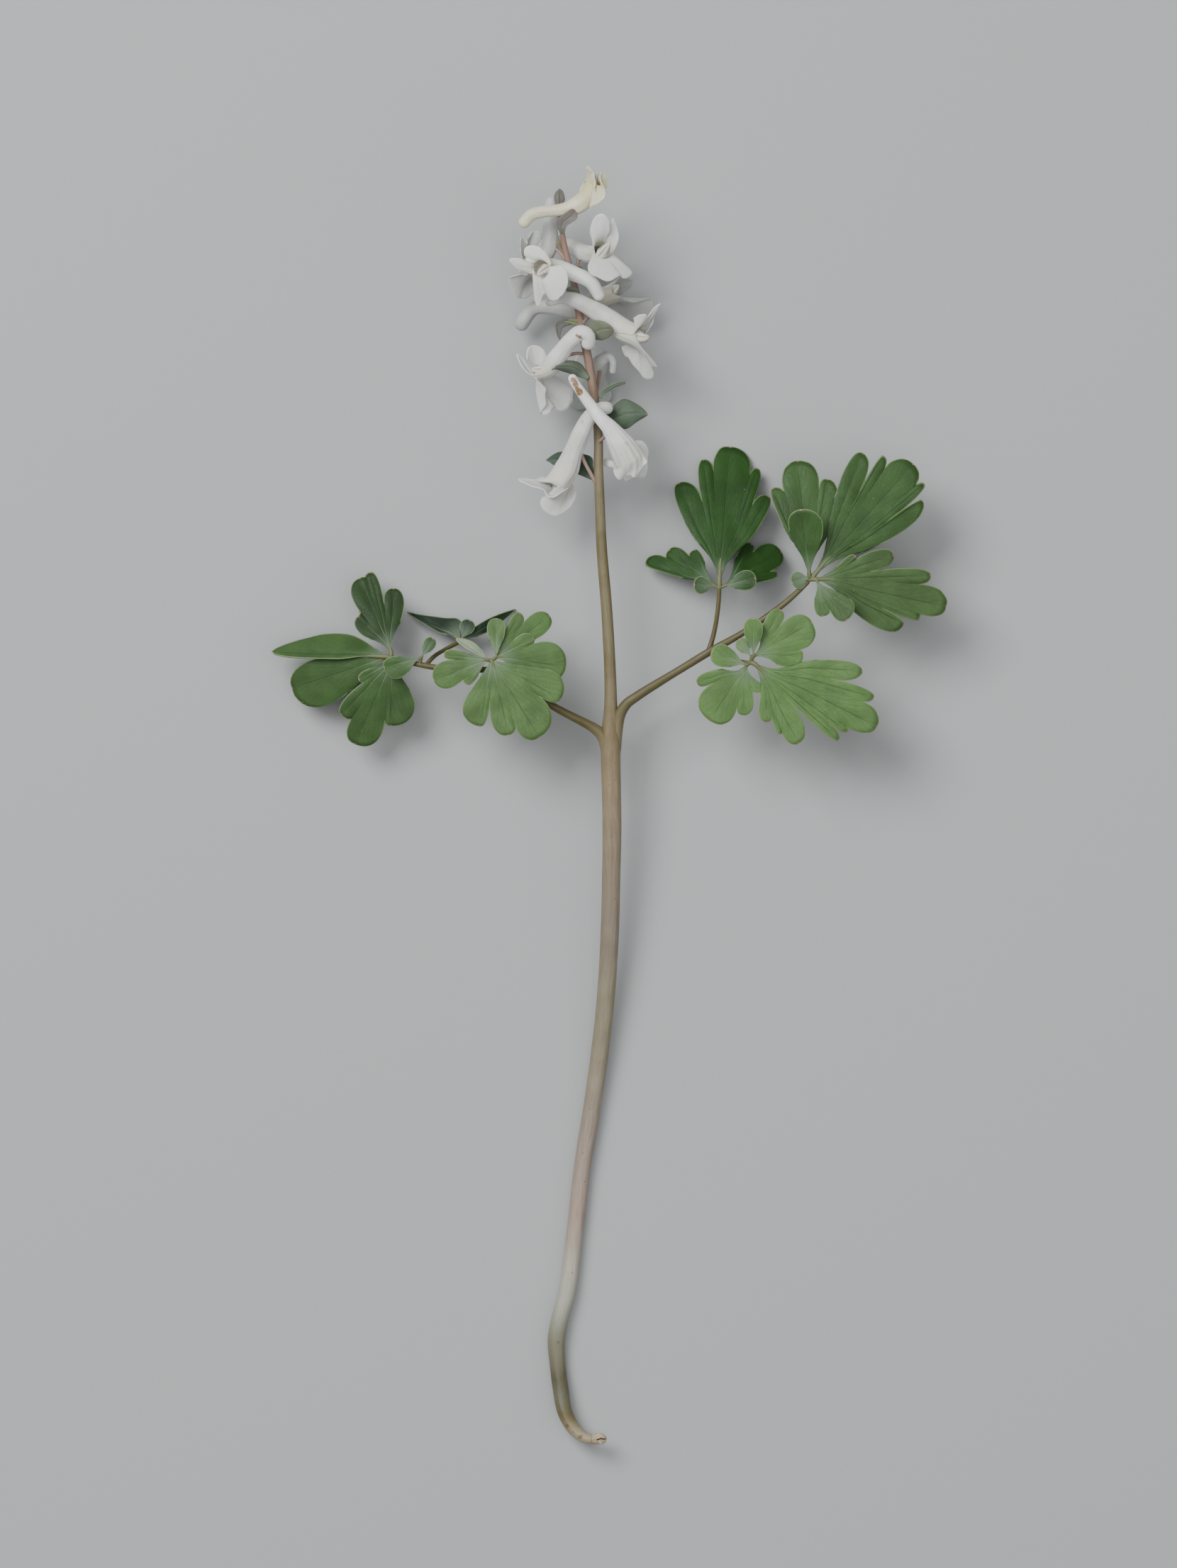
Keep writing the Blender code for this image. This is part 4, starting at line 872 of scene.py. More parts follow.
# both edges run from the base to the tip; lift is z at the base, slope tilts the blade in x and y
bracts = {
    "bract_01": {"left": [(-9.9, 115.3), (-10.1, 117.3), (-10.43, 119.0), (-10.2, 120.2),
                          (-9.4, 120.9)],
                 "right": [(-9.1, 115.3), (-8.8, 117.3), (-8.39, 118.8), (-8.7, 120.2),
                           (-9.4, 120.9)],
                 "lift": 15.7, "slope": (0.12, -0.04), "cup": -0.5, "root": (-8.8, 113.5, 16.8),
                 "tone": (96, 92, 86), "tip": (104, 84, 82), "edge": (112, 100, 96)},
    "bract_02": {"left": [(-9.35, 112.2), (-9.9, 113.3), (-9.95, 114.4), (-8.64, 115.5),
                          (-7.0, 116.45), (-6.3, 115.9)],
                 "right": [(-8.5, 112.1), (-8.15, 113.15), (-7.47, 113.74), (-6.15, 114.6),
                           (-6.0, 115.3), (-6.3, 115.9)],
                 "lift": 17.0, "slope": (0.2, 1.1), "cup": 0.6, "root": (-8.9, 112.0, 15.9),
                 "tone": (140, 136, 130), "tip": (160, 110, 110), "edge": (152, 104, 106)},
    "bract_03": {"left": [(-6.9, 105.5), (-5.8, 105.9), (-4.9, 105.4), (-4.3, 104.5)],
                 "right": [(-6.8, 105.2), (-6.0, 104.5), (-5.1, 104.3), (-4.3, 104.5)],
                 "lift": 13.4, "slope": (-0.4, 0.0), "cup": 0.2,
                 "tone": (98, 104, 70), "tip": (130, 88, 76), "edge": (120, 96, 82)},
    "bract_04": {"left": [(-5.7, 101.3), (-6.6, 101.7), (-7.6, 101.7), (-8.2, 101.1)],
                 "right": [(-5.7, 100.3), (-6.6, 100.3), (-7.5, 100.5), (-8.2, 101.1)],
                 "lift": 14.9, "slope": (-0.2, 0.0), "cup": 0.4,
                 "tone": (118, 116, 108), "tip": (126, 98, 92), "edge": (132, 112, 104)},
    "bract_05": {"left": [(-4.7, 94.8), (-7.1, 95.5), (-9.4, 95.2), (-10.2, 94.4), (-9.9, 92.4),
                          (-9.2, 91.2)],
                 "right": [(-5.5, 93.8), (-6.5, 93.6), (-7.2, 93.1), (-7.9, 92.4), (-8.6, 91.8),
                           (-9.2, 91.2)],
                 "lift": 14.3, "slope": (0.12, 0.0), "cup": 0.7,
                 "tone": (104, 106, 102), "tip": (146, 100, 100), "edge": (128, 98, 96)},
    "bract_06": {"left": [(-3.3, 91.0), (-4.0, 92.0), (-4.34, 93.3), (-3.6, 94.6), (-2.4, 95.0),
                          (-0.9, 94.8), (0.24, 94.1), (1.15, 93.1)],
                 "right": [(-2.7, 90.9), (-2.4, 91.4), (-1.4, 91.3), (-0.1, 91.6), (0.73, 92.25),
                           (1.15, 93.1)],
                 "lift": 14.9, "slope": (1.0, 0.72), "cup": -0.5,
                 "tone": (112, 118, 100), "tip": (140, 108, 100), "edge": (126, 96, 92)},
    "bract_07": {"left": [(-4.0, 83.6), (-5.7, 84.2), (-7.4, 84.8), (-9.1, 85.3), (-10.1, 85.6),
                          (-11.0, 85.3)],
                 "right": [(-3.5, 84.1), (-4.3, 85.3), (-5.2, 86.6), (-6.6, 87.2), (-8.2, 87.2),
                           (-9.7, 86.5), (-11.0, 85.3)],
                 "lift": 14.9, "slope": (-0.30, 0.1), "cup": -0.9,
                 "tone": (88, 98, 84), "tip": (54, 40, 36), "edge": (84, 74, 70)},
    "bract_08": {"left": [(-1.8, 80.1), (-1.4, 81.1), (-0.1, 82.4), (1.6, 83.2), (3.1, 83.3),
                          (3.4, 83.0)],
                 "right": [(-1.2, 79.9), (-1.1, 80.3), (0.1, 81.4), (1.6, 82.3), (3.2, 82.7),
                           (3.4, 83.0)],
                 "lift": 14.0, "slope": (0.1, 0.1), "cup": -0.4,
                 "tone": (86, 100, 82), "tip": (120, 104, 98), "edge": (104, 112, 98)},
    "bract_09": {"left": [(-0.9, 75.8), (0.2, 77.5), (1.6, 79.0), (3.2, 79.85), (5.2, 79.1),
                          (7.0, 77.8), (7.74, 76.7)],
                 "right": [(-0.6, 75.3), (1.06, 74.5), (3.6, 74.05), (5.6, 75.4), (6.9, 76.2),
                           (7.74, 76.7)],
                 "lift": 14.0, "slope": (0.2, 0.0), "cup": -0.5, "root": (-1.6, 75.5, 13.9),
                 "tone": (72, 88, 70), "tip": (168, 92, 96), "edge": (98, 96, 84)},
    "bract_10": {"left": [(-2.6, 64.1), (-2.9, 66.6), (-3.1, 68.4), (-4.8, 69.2), (-9.0, 69.7),
                          (-10.5, 69.3), (-12.1, 68.1)],
                 "right": [(-3.4, 63.9), (-4.8, 64.8), (-7.5, 65.8), (-10.0, 66.8), (-12.1, 68.1)],
                 "lift": 12.3, "slope": (0.32, 0.0), "cup": 0.4, "root": (-2.1, 64.1, 13.2),
                 "tone": (64, 84, 69), "tip": (80, 72, 62), "edge": (84, 94, 78)}}
# small folded-over pieces seen beside two of them
bractFolds = {
    "bract_05_fold": {"left": [(-9.6, 95.1), (-8.0, 95.5), (-6.3, 95.5), (-4.3, 95.2)],
                      "right": [(-9.6, 95.0), (-7.6, 94.7), (-5.9, 94.1), (-4.6, 94.3)],
                      "lift": 13.9, "slope": (0.12, 0.0), "cup": 0.0, "node": "bract_05",
                      "tone": (116, 124, 90), "tip": (116, 124, 90), "edge": (126, 128, 98)},
    "bract_03_sliver": {"left": [(-8.6, 107.8), (-9.2, 108.8), (-9.8, 110.2), (-9.5, 110.9)],
                        "right": [(-8.2, 108.0), (-8.5, 109.0), (-9.0, 110.2), (-9.5, 110.9)],
                        "lift": 14.3, "slope": (0.0, 0.0), "cup": 0.2, "node": "bract_03",
                        "tone": (104, 112, 80), "tip": (160, 104, 100), "edge": (166, 116, 112)}}


bractShape = {"columns": 22, "rows": 30, "thickness": 0.2, "footReach": 0.16, "groove": 0.12,
              "grooveWidth": 0.06, "waves": 0.45, "ripple": 0.25, "bloomReach": 2.0,
              "veining": 0.3}


def formBract(plan, seed):
    shape = bractShape
    columns, rows = shape["columns"], shape["rows"]
    left, right = [evenLine(smoothLine([(*point, 0.0) for point in plan[edge]], 10), rows)
                   for edge in ("left", "right")]
    base = left[0].lerp(right[0], 0.5)
    total = lengthOf(left)

    def place(i, j):
        u, t = i / columns, j / rows
        spot = left[j].lerp(right[j], u)
        width = (right[j] - left[j]).length
        away = spot - base
        z = plan["lift"] + plan["slope"][0] * away.x + plan["slope"][1] * away.y
        bulge = 4.0 * u * (1.0 - u)
        z += plan["cup"] * (1.0 - bulge) * width / 4.0
        groove = shape["groove"] * math.exp(-((u - 0.5) / shape["grooveWidth"]) ** 2)
        z -= groove * ease(t, 0.02, 0.3) * ease(1 - t, 0.0, 0.3)
        z += shape["waves"] * ease(away.length, 0.5, 3.0) * wobble(spot.x, spot.y, seed, 3.2)
        z += (shape["ripple"] * (1.0 - bulge) ** 2 * ease(t, 0.1, 0.5)
              * wobble(spot.x, spot.y, seed + 2, 1.4))
        point = Vector((spot.x, spot.y, z))
        if "root" in plan:  # a foot that would stop short is drawn on to a point in the stem
            start = Vector(plan["root"]) + (right[0] - left[0]) * (u - 0.5)
            point = start.lerp(point, ease(t, 0.0, shape["footReach"]))
        return point

    def paint(near, i, j):
        width = (right[j] - left[j]).length
        u = i / columns
        return (((u - 0.5) * width, total * j / rows),
                (min(u, 1 - u) * width, total * (1 - j / rows)))

    form = formSheet(columns, rows, place, paint)
    faceUp(form)
    return form


def makeBracts():
    shape = bractShape
    for number, (name, plan) in enumerate(list(bracts.items()) + list(bractFolds.items())):
        skin = bladeMaterial(name + "_skin", plan["tone"], shape["bloomReach"], tip=plan["tip"],
                             margin=plan["edge"], veining=shape["veining"])
        addPiece(name + "_blade", formBract(plan, 40.0 + number), skin, plan.get("node", name),
                 shape["thickness"])


makeBracts()
print("bracts made")


petalShape = {"around": 56, "aroundLower": 40, "caps": 6, "tube": 34, "lip": 20,
              "thickness": 0.22, "throat": 0.57, "lowerThroat": 0.55, "swell": 1.03,
              "lowerSwell": 0.985, "ribs": 0.014, "ribCount": 13, "pleat": 0.05, "pleatAt": 0.62,
              "loose": 0.035, "uneven": 0.05, "reach": 0.32, "frill": 0.32, "jag": 0.16,
              "soften": 3, "softFrom": -0.8}
# mm past the mouth, rise and width where a flower gives no line for its inner petals
innerDefault = [(-1.6, 0.0, 0.4), (0.0, 0.1, 0.6), (1.6, 0.2, 0.55), (2.6, 0.1, 0.25)]

# tone and throat: the petals' own white and cream, with painted shade making flowers 2, 5, 6, 8
# and 9 darker and painted light making flower 10 lighter than the rest
flowers = [
    {"spine": [(-16.3, 114.0, 19.4, 0.98), (-14.4, 115.7, 19.8, 1.0), (-9.4, 116.4, 20.0, 0.98),
               (-6.6, 117.0, 20.0, 1.5), (-3.8, 119.0, 20.0, 1.7), (-2.8, 121.2, 20.2, 1.5)],
     "shape": {"frill": 0.62, "jag": 0.3, "swell": 1.06},
     "joint": 3, "up": (-0.8, 0.6, 0.0), "tone": (226, 222, 192), "throat": (214, 207, 148),
     "upper": [(-2.9, 118.2, 22.0), (-2.4, 120.8, 22.6), (-2.7, 123.4, 22.8),
               (-4.1, 125.0, 22.6), (-3.9, 123.4, 21.6), (-4.5, 122.3, 20.2),
               (-4.9, 121.6, 18.6), (-5.5, 120.4, 18.0), (-5.7, 119.2, 17.8)],
     "lower": [(-3.6, 116.6, 21.8), (-1.3, 117.8, 22.6), (-0.7, 119.9, 22.8),
               (-1.2, 122.1, 22.6), (-1.8, 123.1, 22.2), (-2.0, 121.8, 21.2),
               (-1.6, 122.6, 19.4), (-1.3, 124.2, 18.8), (-0.5, 123.5, 18.2),
               (-0.1, 121.7, 17.8), (-0.4, 120.2, 17.8)]},
    {"spine": [(-11.0, 118.2, 12.8, 1.15), (-11.2, 115.0, 13.0, 1.35), (-11.3, 111.6, 13.0, 1.35),
               (-11.6, 109.2, 12.8, 1.45), (-13.2, 107.3, 12.4, 1.6), (-15.2, 106.0, 12.0, 1.7)],
     "joint": 3, "up": (-0.8, 0.5, 0.0), "tone": (196, 197, 194), "throat": (196, 194, 176),
     "upper": [(-16.8, 106.5, 13.4), (-17.1, 109.1, 13.6), (-17.0, 111.4, 13.4),
               (-16.0, 110.0, 12.0), (-15.5, 111.8, 11.0), (-14.8, 112.9, 10.2),
               (-13.7, 113.0, 9.8), (-12.8, 112.1, 9.8), (-12.5, 109.4, 10.4)],
     "lower": [(-13.8, 102.7, 9.2), (-14.2, 101.2, 9.4), (-15.9, 99.6, 9.8),
               (-17.7, 99.6, 10.6), (-18.4, 100.2, 11.2), (-19.3, 102.1, 12.0),
               (-19.6, 103.4, 12.6), (-18.7, 104.0, 13.0), (-15.4, 104.0, 13.0)]},
    {"spine": [(-1.8, 100.0, 17.4, 1.0), (-3.4, 102.5, 18.0, 1.22), (-6.6, 104.1, 18.2, 1.35),
               (-9.6, 105.1, 18.6, 1.5), (-12.0, 105.2, 20.0, 1.7), (-12.9, 104.9, 21.6, 1.7)],
     "joint": 3, "up": (-0.2, 1.0, 0.0), "tone": (232, 233, 228), "throat": (226, 222, 200),
     "upper": [(-15.3, 103.9, 20.4), (-17.5, 104.7, 21.0), (-19.4, 106.4, 21.6),
               (-18.7, 107.1, 22.0), (-16.9, 106.5, 22.2), (-15.7, 106.3, 21.8),
               (-16.5, 108.0, 22.0), (-16.1, 109.2, 22.2), (-14.6, 109.5, 22.4),
               (-12.9, 108.7, 22.8), (-11.7, 107.1, 22.8), (-10.9, 105.7, 22.2)],
     "lower": [(-10.7, 105.2, 22.0), (-9.3, 105.6, 22.6), (-8.1, 104.5, 23.0),
               (-7.5, 102.2, 23.0), (-8.3, 100.0, 22.6), (-9.9, 98.4, 22.0),
               (-11.4, 98.7, 21.4), (-12.2, 100.3, 20.9), (-12.8, 99.4, 20.5),
               (-13.3, 96.9, 20.0), (-14.2, 98.5, 20.4), (-13.9, 100.9, 20.8),
               (-13.3, 102.8, 21.0)],
     "inner": [(-10.9, 105.4, 20.6, 0.5), (-12.0, 104.9, 21.9, 0.95), (-13.0, 104.2, 22.8, 0.85),
               (-13.7, 103.4, 23.2, 0.35)],
     "stains": [((-16.0, 107.0, 22.2), 0.28, 0.5), ((-8.9, 99.2, 22.3), 0.5, 0.8)]},
    {"spine": [(-10.2, 111.0, 9.6, 1.2), (-8.0, 110.2, 9.9, 1.3), (-5.9, 109.2, 10.8, 1.4),
               (-4.0, 108.2, 12.6, 1.6), (-2.2, 108.0, 15.6, 1.7), (-1.2, 108.6, 18.4, 1.7)],
     "joint": 2, "up": (0.0, 1.0, 0.2), "tone": (224, 225, 222), "throat": (220, 216, 190),
     "upper": [(-2.9, 109.5, 18.4), (-3.3, 111.9, 19.6), (-3.4, 113.3, 20.2),
               (-2.7, 115.1, 20.8), (-1.3, 115.8, 21.2), (-0.1, 115.1, 21.2),
               (0.3, 113.2, 20.6), (0.2, 111.7, 19.8), (0.6, 113.7, 19.6), (0.9, 115.5, 19.4),
               (1.6, 113.7, 19.2), (2.1, 111.2, 19.0), (1.5, 109.4, 18.6), (0.8, 108.1, 18.2)],
     "lower": [(-2.4, 106.4, 19.0), (-3.5, 106.1, 20.2), (-4.1, 105.0, 20.6),
               (-3.5, 103.7, 20.4), (-1.8, 103.0, 20.2), (0.1, 102.2, 19.8), (1.5, 102.9, 19.4),
               (2.8, 103.8, 18.8), (2.7, 102.9, 18.2), (4.0, 103.1, 17.6), (5.2, 104.3, 17.2),
               (3.6, 105.3, 17.0), (1.5, 106.4, 17.2), (0.0, 106.6, 17.6)],
     "inner": [(-2.4, 106.9, 18.2, 0.55), (-1.4, 107.8, 19.6, 0.95), (-0.4, 109.0, 20.7, 0.85),
               (0.3, 110.1, 21.2, 0.35)]},
    {"spine": [(-16.9, 95.0, 5.0, 1.25), (-14.5, 98.0, 5.8, 1.25), (-10.7, 98.2, 7.0, 1.35),
               (-6.0, 97.6, 8.0, 1.5), (-2.2, 99.4, 8.4, 1.8), (0.6, 100.6, 8.4, 1.8)],
     "joint": 3, "up": (-0.1, 1.0, 0.0), "tone": (186, 187, 183), "throat": (190, 186, 164),
     "upper": [(-0.9, 101.9, 9.6), (0.9, 103.0, 9.6), (3.0, 104.5, 9.2), (4.2, 104.9, 8.2),
               (4.2, 104.0, 7.0), (5.0, 103.6, 5.8), (4.8, 102.5, 5.2), (3.3, 101.2, 5.4),
               (1.7, 100.3, 5.8)],
     "lower": [(0.8, 99.3, 8.6), (3.0, 99.3, 9.2), (5.1, 98.8, 9.2), (6.6, 99.3, 8.8),
               (8.9, 99.8, 8.4), (9.2, 98.2, 7.4), (8.7, 96.1, 6.2), (6.9, 95.3, 5.0),
               (5.3, 94.9, 4.2), (3.0, 95.4, 3.8), (0.9, 96.6, 4.6), (-0.3, 97.6, 5.6)],
     "inner": [(-0.2, 100.6, 8.6, 0.6), (0.8, 101.2, 9.2, 0.95), (1.6, 101.9, 9.7, 0.8),
               (2.1, 102.4, 9.9, 0.35)]},
    {"spine": [(-11.3, 98.8, 16.9, 0.85), (-9.0, 99.4, 17.3, 1.0), (-6.6, 99.0, 17.8, 1.3),
               (-3.8, 97.7, 17.4, 1.44), (-0.9, 96.0, 16.7, 1.8), (2.6, 93.4, 17.1, 2.05),
               (5.1, 92.2, 17.8, 2.0)],
     "shape": {"lowerThroat": 0.62}, "joint": 4, "up": (0.4, 0.9, 0.1), "tone": (212, 213, 208),
     "throat": (222, 220, 200),
     "upper": [(5.0, 95.5, 19.6), (6.0, 96.2, 20.2), (7.5, 96.3, 20.2), (7.8, 95.6, 19.8),
               (8.8, 97.3, 19.6), (10.4, 98.6, 19.4), (9.2, 96.3, 18.6), (8.7, 94.3, 18.0),
               (7.4, 92.7, 17.2)],
     "lower": [(2.7, 90.1, 14.4), (3.1, 88.6, 13.8), (4.1, 87.9, 14.0), (4.5, 86.7, 14.6),
               (5.7, 85.3, 15.0), (6.7, 84.0, 15.2), (7.2, 83.4, 15.2), (8.8, 83.4, 15.2),
               (9.1, 84.6, 15.6), (8.5, 86.1, 16.0), (10.1, 85.6, 16.4), (9.5, 86.4, 16.6),
               (8.1, 87.2, 16.8), (6.3, 89.0, 17.0), (5.1, 90.4, 17.2)],
     "inner": [(3.9, 92.6, 17.9, 0.8), (5.6, 91.9, 18.8, 1.2), (7.0, 91.6, 19.1, 1.05),
               (8.0, 91.9, 19.0, 0.45)]},
    {"spine": [(-3.9, 90.6, 17.7, 1.2), (-3.9, 92.0, 18.2, 1.25), (-5.4, 92.6, 18.2, 1.35),
               (-7.4, 91.0, 17.6, 1.4), (-9.6, 88.2, 15.9, 1.6), (-11.4, 86.2, 13.9, 1.8),
               (-13.2, 85.6, 12.6, 1.7)],
     "joint": 4, "up": (-0.5, 0.8, 0.3), "tone": (224, 225, 221), "throat": (218, 215, 192),
     "upper": [(-13.5, 83.5, 13.2), (-15.6, 84.9, 13.2), (-17.2, 86.8, 13.2),
               (-18.0, 89.1, 12.8), (-17.0, 88.6, 12.2), (-16.0, 87.9, 11.2),
               (-16.0, 89.4, 10.2), (-15.4, 90.7, 9.4), (-13.8, 90.9, 9.0), (-12.6, 90.0, 9.0),
               (-11.7, 88.2, 9.6), (-11.1, 86.8, 10.6)],
     "lower": [(-11.9, 82.2, 12.0), (-12.3, 80.4, 11.6), (-11.8, 78.7, 11.2),
               (-13.3, 77.0, 10.6), (-11.9, 76.4, 10.4), (-10.8, 77.5, 10.2),
               (-10.6, 78.5, 9.6), (-10.0, 77.6, 8.8), (-8.1, 77.5, 7.8), (-7.2, 78.3, 7.2),
               (-6.9, 80.4, 7.4), (-6.8, 82.2, 8.4), (-7.5, 83.2, 9.8)],
     "inner": [(-12.0, 86.0, 13.3, 0.5), (-13.1, 85.7, 12.6, 0.9), (-14.2, 85.7, 12.2, 0.75),
               (-14.9, 85.9, 11.9, 0.3)],
     "stains": [((-6.05, 92.0, 19.4), 0.34, 0.9), ((-5.55, 91.75, 19.4), 0.36, 0.9),
                ((-5.2, 91.45, 19.3), 0.26, 0.6)]},
    {"spine": [(0.95, 85.5, 11.2, 0.5), (1.0, 87.2, 11.6, 0.56), (0.1, 88.3, 11.3, 0.75),
               (-1.4, 87.4, 9.8, 1.35), (-1.9, 86.4, 7.6, 1.6), (-2.2, 85.6, 5.2, 1.6)],
     "joint": 3, "up": (0.0, 1.0, 0.0), "tone": (188, 190, 187), "throat": (188, 186, 166),
     "upper": [(-5.7, 86.4, 4.2), (-6.6, 88.3, 3.2), (-5.8, 89.8, 2.6), (-4.4, 90.5, 2.2),
               (-3.3, 89.7, 2.2), (-2.5, 91.0, 2.0), (-1.5, 90.8, 2.2), (-1.0, 89.4, 2.8),
               (-1.2, 87.3, 4.0)],
     "lower": [(-4.5, 84.0, 3.8), (-6.6, 82.2, 2.6), (-7.4, 80.1, 1.6), (-6.9, 78.3, 1.0),
               (-5.1, 78.2, 0.8), (-3.3, 79.2, 0.8), (-1.8, 79.7, 0.6), (-0.3, 79.2, 0.6),
               (0.6, 80.2, 0.9), (0.6, 81.7, 1.6), (-0.8, 83.9, 3.2)]},
    {"spine": [(-0.2, 78.0, 16.6, 1.08), (-1.6, 77.8, 17.2, 1.14), (-3.6, 76.2, 17.0, 1.28),
               (-5.4, 72.8, 16.4, 1.55), (-6.8, 69.4, 15.4, 1.7), (-8.0, 66.2, 14.5, 2.2),
               (-9.4, 63.9, 13.9, 2.3)],
     "shape": {"throat": 0.88, "lowerThroat": 0.5, "ribs": 0.016, "frill": 0.26},
     "joint": 4, "up": (-0.85, 0.5, 0.1), "tone": (216, 217, 213), "throat": (220, 217, 200),
     "upper": [(-6.9, 63.3, 13.0), (-7.4, 62.6, 14.6), (-8.9, 61.6, 15.8), (-10.3, 60.7, 16.2),
               (-11.4, 60.5, 16.2), (-12.3, 61.0, 16.0), (-12.4, 61.9, 16.2),
               (-13.4, 62.2, 16.6), (-15.2, 62.8, 16.2), (-17.0, 63.6, 15.2),
               (-17.9, 64.2, 14.4), (-16.4, 64.6, 13.4), (-15.2, 64.1, 13.0),
               (-13.9, 64.3, 12.8), (-12.8, 65.0, 12.6), (-11.6, 64.2, 12.0),
               (-9.6, 62.6, 11.6)],
     "inner": [(-8.6, 64.6, 13.6, 1.0), (-9.4, 63.0, 13.4, 1.2), (-10.2, 61.6, 13.2, 1.1),
               (-10.8, 60.6, 13.0, 0.5)],
     "lower": [(-12.2, 61.0, 13.4), (-13.1, 60.6, 13.6), (-13.4, 59.2, 13.9), (-12.5, 57.8, 13.9),
               (-11.1, 57.0, 13.7), (-9.8, 57.0, 13.5), (-8.1, 58.0, 13.1), (-6.9, 59.3, 12.7),
               (-6.1, 61.1, 12.1), (-6.6, 63.2, 11.8)],
     "stains": [((-5.1, 75.3, 18.3), 0.42, 0.3)]},
    {"spine": [(-6.9, 83.6, 20.6, 0.72), (-5.9, 81.9, 20.6, 0.8), (-2.0, 76.5, 20.1, 1.1),
               (0.4, 73.9, 19.2, 1.5), (2.2, 71.2, 17.4, 2.3), (3.6, 68.9, 15.4, 2.8)],
     "shape": {"ribs": 0.04, "jag": 0.42, "frill": 0.6},
     "joint": 3, "up": (0.2, 0.2, 1.0), "tone": (246, 246, 242), "throat": (238, 236, 222),
     "upper": [(0.9, 68.0, 14.0), (1.1, 66.2, 14.2), (1.5, 65.0, 14.4), (2.3, 64.1, 14.2),
               (3.0, 64.7, 14.6), (4.4, 65.2, 15.2), (4.9, 64.4, 15.0), (6.0, 65.6, 15.4),
               (6.9, 66.7, 15.6), (7.7, 67.8, 15.4), (6.3, 69.3, 15.2), (5.0, 70.3, 15.4)],
     "lower": [(1.5, 67.2, 12.4), (0.6, 66.5, 11.4), (-1.4, 67.3, 10.6), (-0.3, 68.6, 10.8),
               (2.2, 65.3, 9.0), (3.0, 64.1, 8.6), (3.9, 63.4, 8.4), (4.7, 64.4, 8.6),
               (6.0, 64.7, 8.8), (6.9, 64.3, 8.8), (7.7, 65.1, 9.0), (7.9, 68.1, 9.6),
               (7.8, 70.5, 10.2), (6.6, 71.8, 10.8), (4.8, 71.6, 12.0)],
     "stains": [((-6.8, 83.3, 21.4), 0.54, 0.9), ((-6.5, 82.7, 21.4), 0.56, 0.9),
                ((-6.2, 82.1, 21.4), 0.56, 0.9), ((-5.9, 81.5, 21.4), 0.62, 1.0),
                ((-5.55, 80.9, 21.4), 0.7, 1.0), ((3.7, 71.0, 19.4), 0.5, 0.25)]}]


petalFinish = {"rough": 0.42, "spots": (320.0, 4200.0), "lines": (46.0, 1.8), "fine": (98.0, 3.0),
               "cool": (0.915, 0.92, 0.92), "brown": (134, 102, 62), "ragged": 1.3,
               "purple": (128, 88, 104), "purpleShare": 0.82, "slit": (188, 182, 140),
               "bump": (0.5, 0.00012), "roughness": (0.38, 0.52),
               "shader": {"Specular IOR Level": 0.3, "Subsurface Weight": 0.25,
                          "Subsurface Radius": (1.0, 0.95, 0.8), "Subsurface Scale": 0.0005}}
innerTones = {"tone": (234, 233, 224), "throat": (228, 226, 202)}


# lines UV is (share around, mm past the mouth), edges UV is (mm to rim, share out from the slit)
def petalMaterial(name, tones, stains, innerLength=0.0):
    plan, colour = petalFinish, tones["tone"]
    material, tree, shader = newMaterial(name, plan["rough"])
    flow, rim = partsOf(tree, uvOf(tree, "lines")), partsOf(tree, uvOf(tree, "edges"))
    spots = spotsOf(tree, plan)
    lines, fine = [useGroup(tree, veins, {"Across": flow[0], "Along": flow[1], "Count": count,
                                          "Wander": wander})[0]
                   for count, wander in (plan["lines"], plan["fine"])]

    # cooler on the lip, warmer at the mouth, with pale lines and a pale rim
    body = blendTone(tree, spots["Patches"], tone(*colour), shaded(colour, 0.93))
    cool = tone(*[c * f for c, f in zip(colour, plan["cool"])])
    body = blendTone(tree, times(tree, range01(tree, flow[1], -3.0, 1.5), 0.7), body, cool)
    nearMouth = times(tree, range01(tree, flow[1], -6.0, -0.6),
                      range01(tree, flow[1], 3.0, 0.4, 0.0, 0.7))
    body = blendTone(tree, nearMouth, body, tone(*tones["throat"]))
    pale = tone(*[min(c * 1.06, 250) for c in colour])
    lineShare = times(tree, calc(tree, "MAXIMUM", lines, times(tree, fine, 0.5)),
                      range01(tree, flow[1], -7.0, 2.0, 0.08, 0.36))
    body = blendTone(tree, lineShare, body, pale)
    body = blendTone(tree, range01(tree, rim[0], 0.26, 0.04, 0.0, 0.8), body, pale)
    for centre, radius, strength in stains:
        mark = useGroup(tree, stain, {"Centre": [c * mm for c in centre], "Radius": radius * mm,
                                      "Ragged": plan["ragged"]})[0]
        broken = range01(tree, spots["Grain"], 0.34, 0.46, 0.75, 1.0)
        body = blendTone(tree, times(tree, mark, times(tree, broken, strength)), body,
                         tone(*plan["brown"]))

    if innerLength:  # the purple edge and the greenish slit of the inner pair
        tipLine = times(tree, range01(tree, flow[1], innerLength * 0.34, innerLength * 0.66),
                        range01(tree, rim[1], 0.56, 0.2))
        body = blendTone(tree, times(tree, tipLine, plan["purpleShare"]), body,
                         tone(*plan["purple"]))
        slit = times(tree, range01(tree, rim[1], 0.93, 0.995),
                     range01(tree, flow[1], innerLength * 0.15, innerLength * 0.4, 0.0, 0.5))
        body = blendTone(tree, slit, body, tone(*plan["slit"]))
    relief = calc(tree, "ADD", lineShare, times(tree, spots["Grain"], 0.35))
    finishSkin(tree, shader, plan, body, relief, spots["Grain"])
    return material


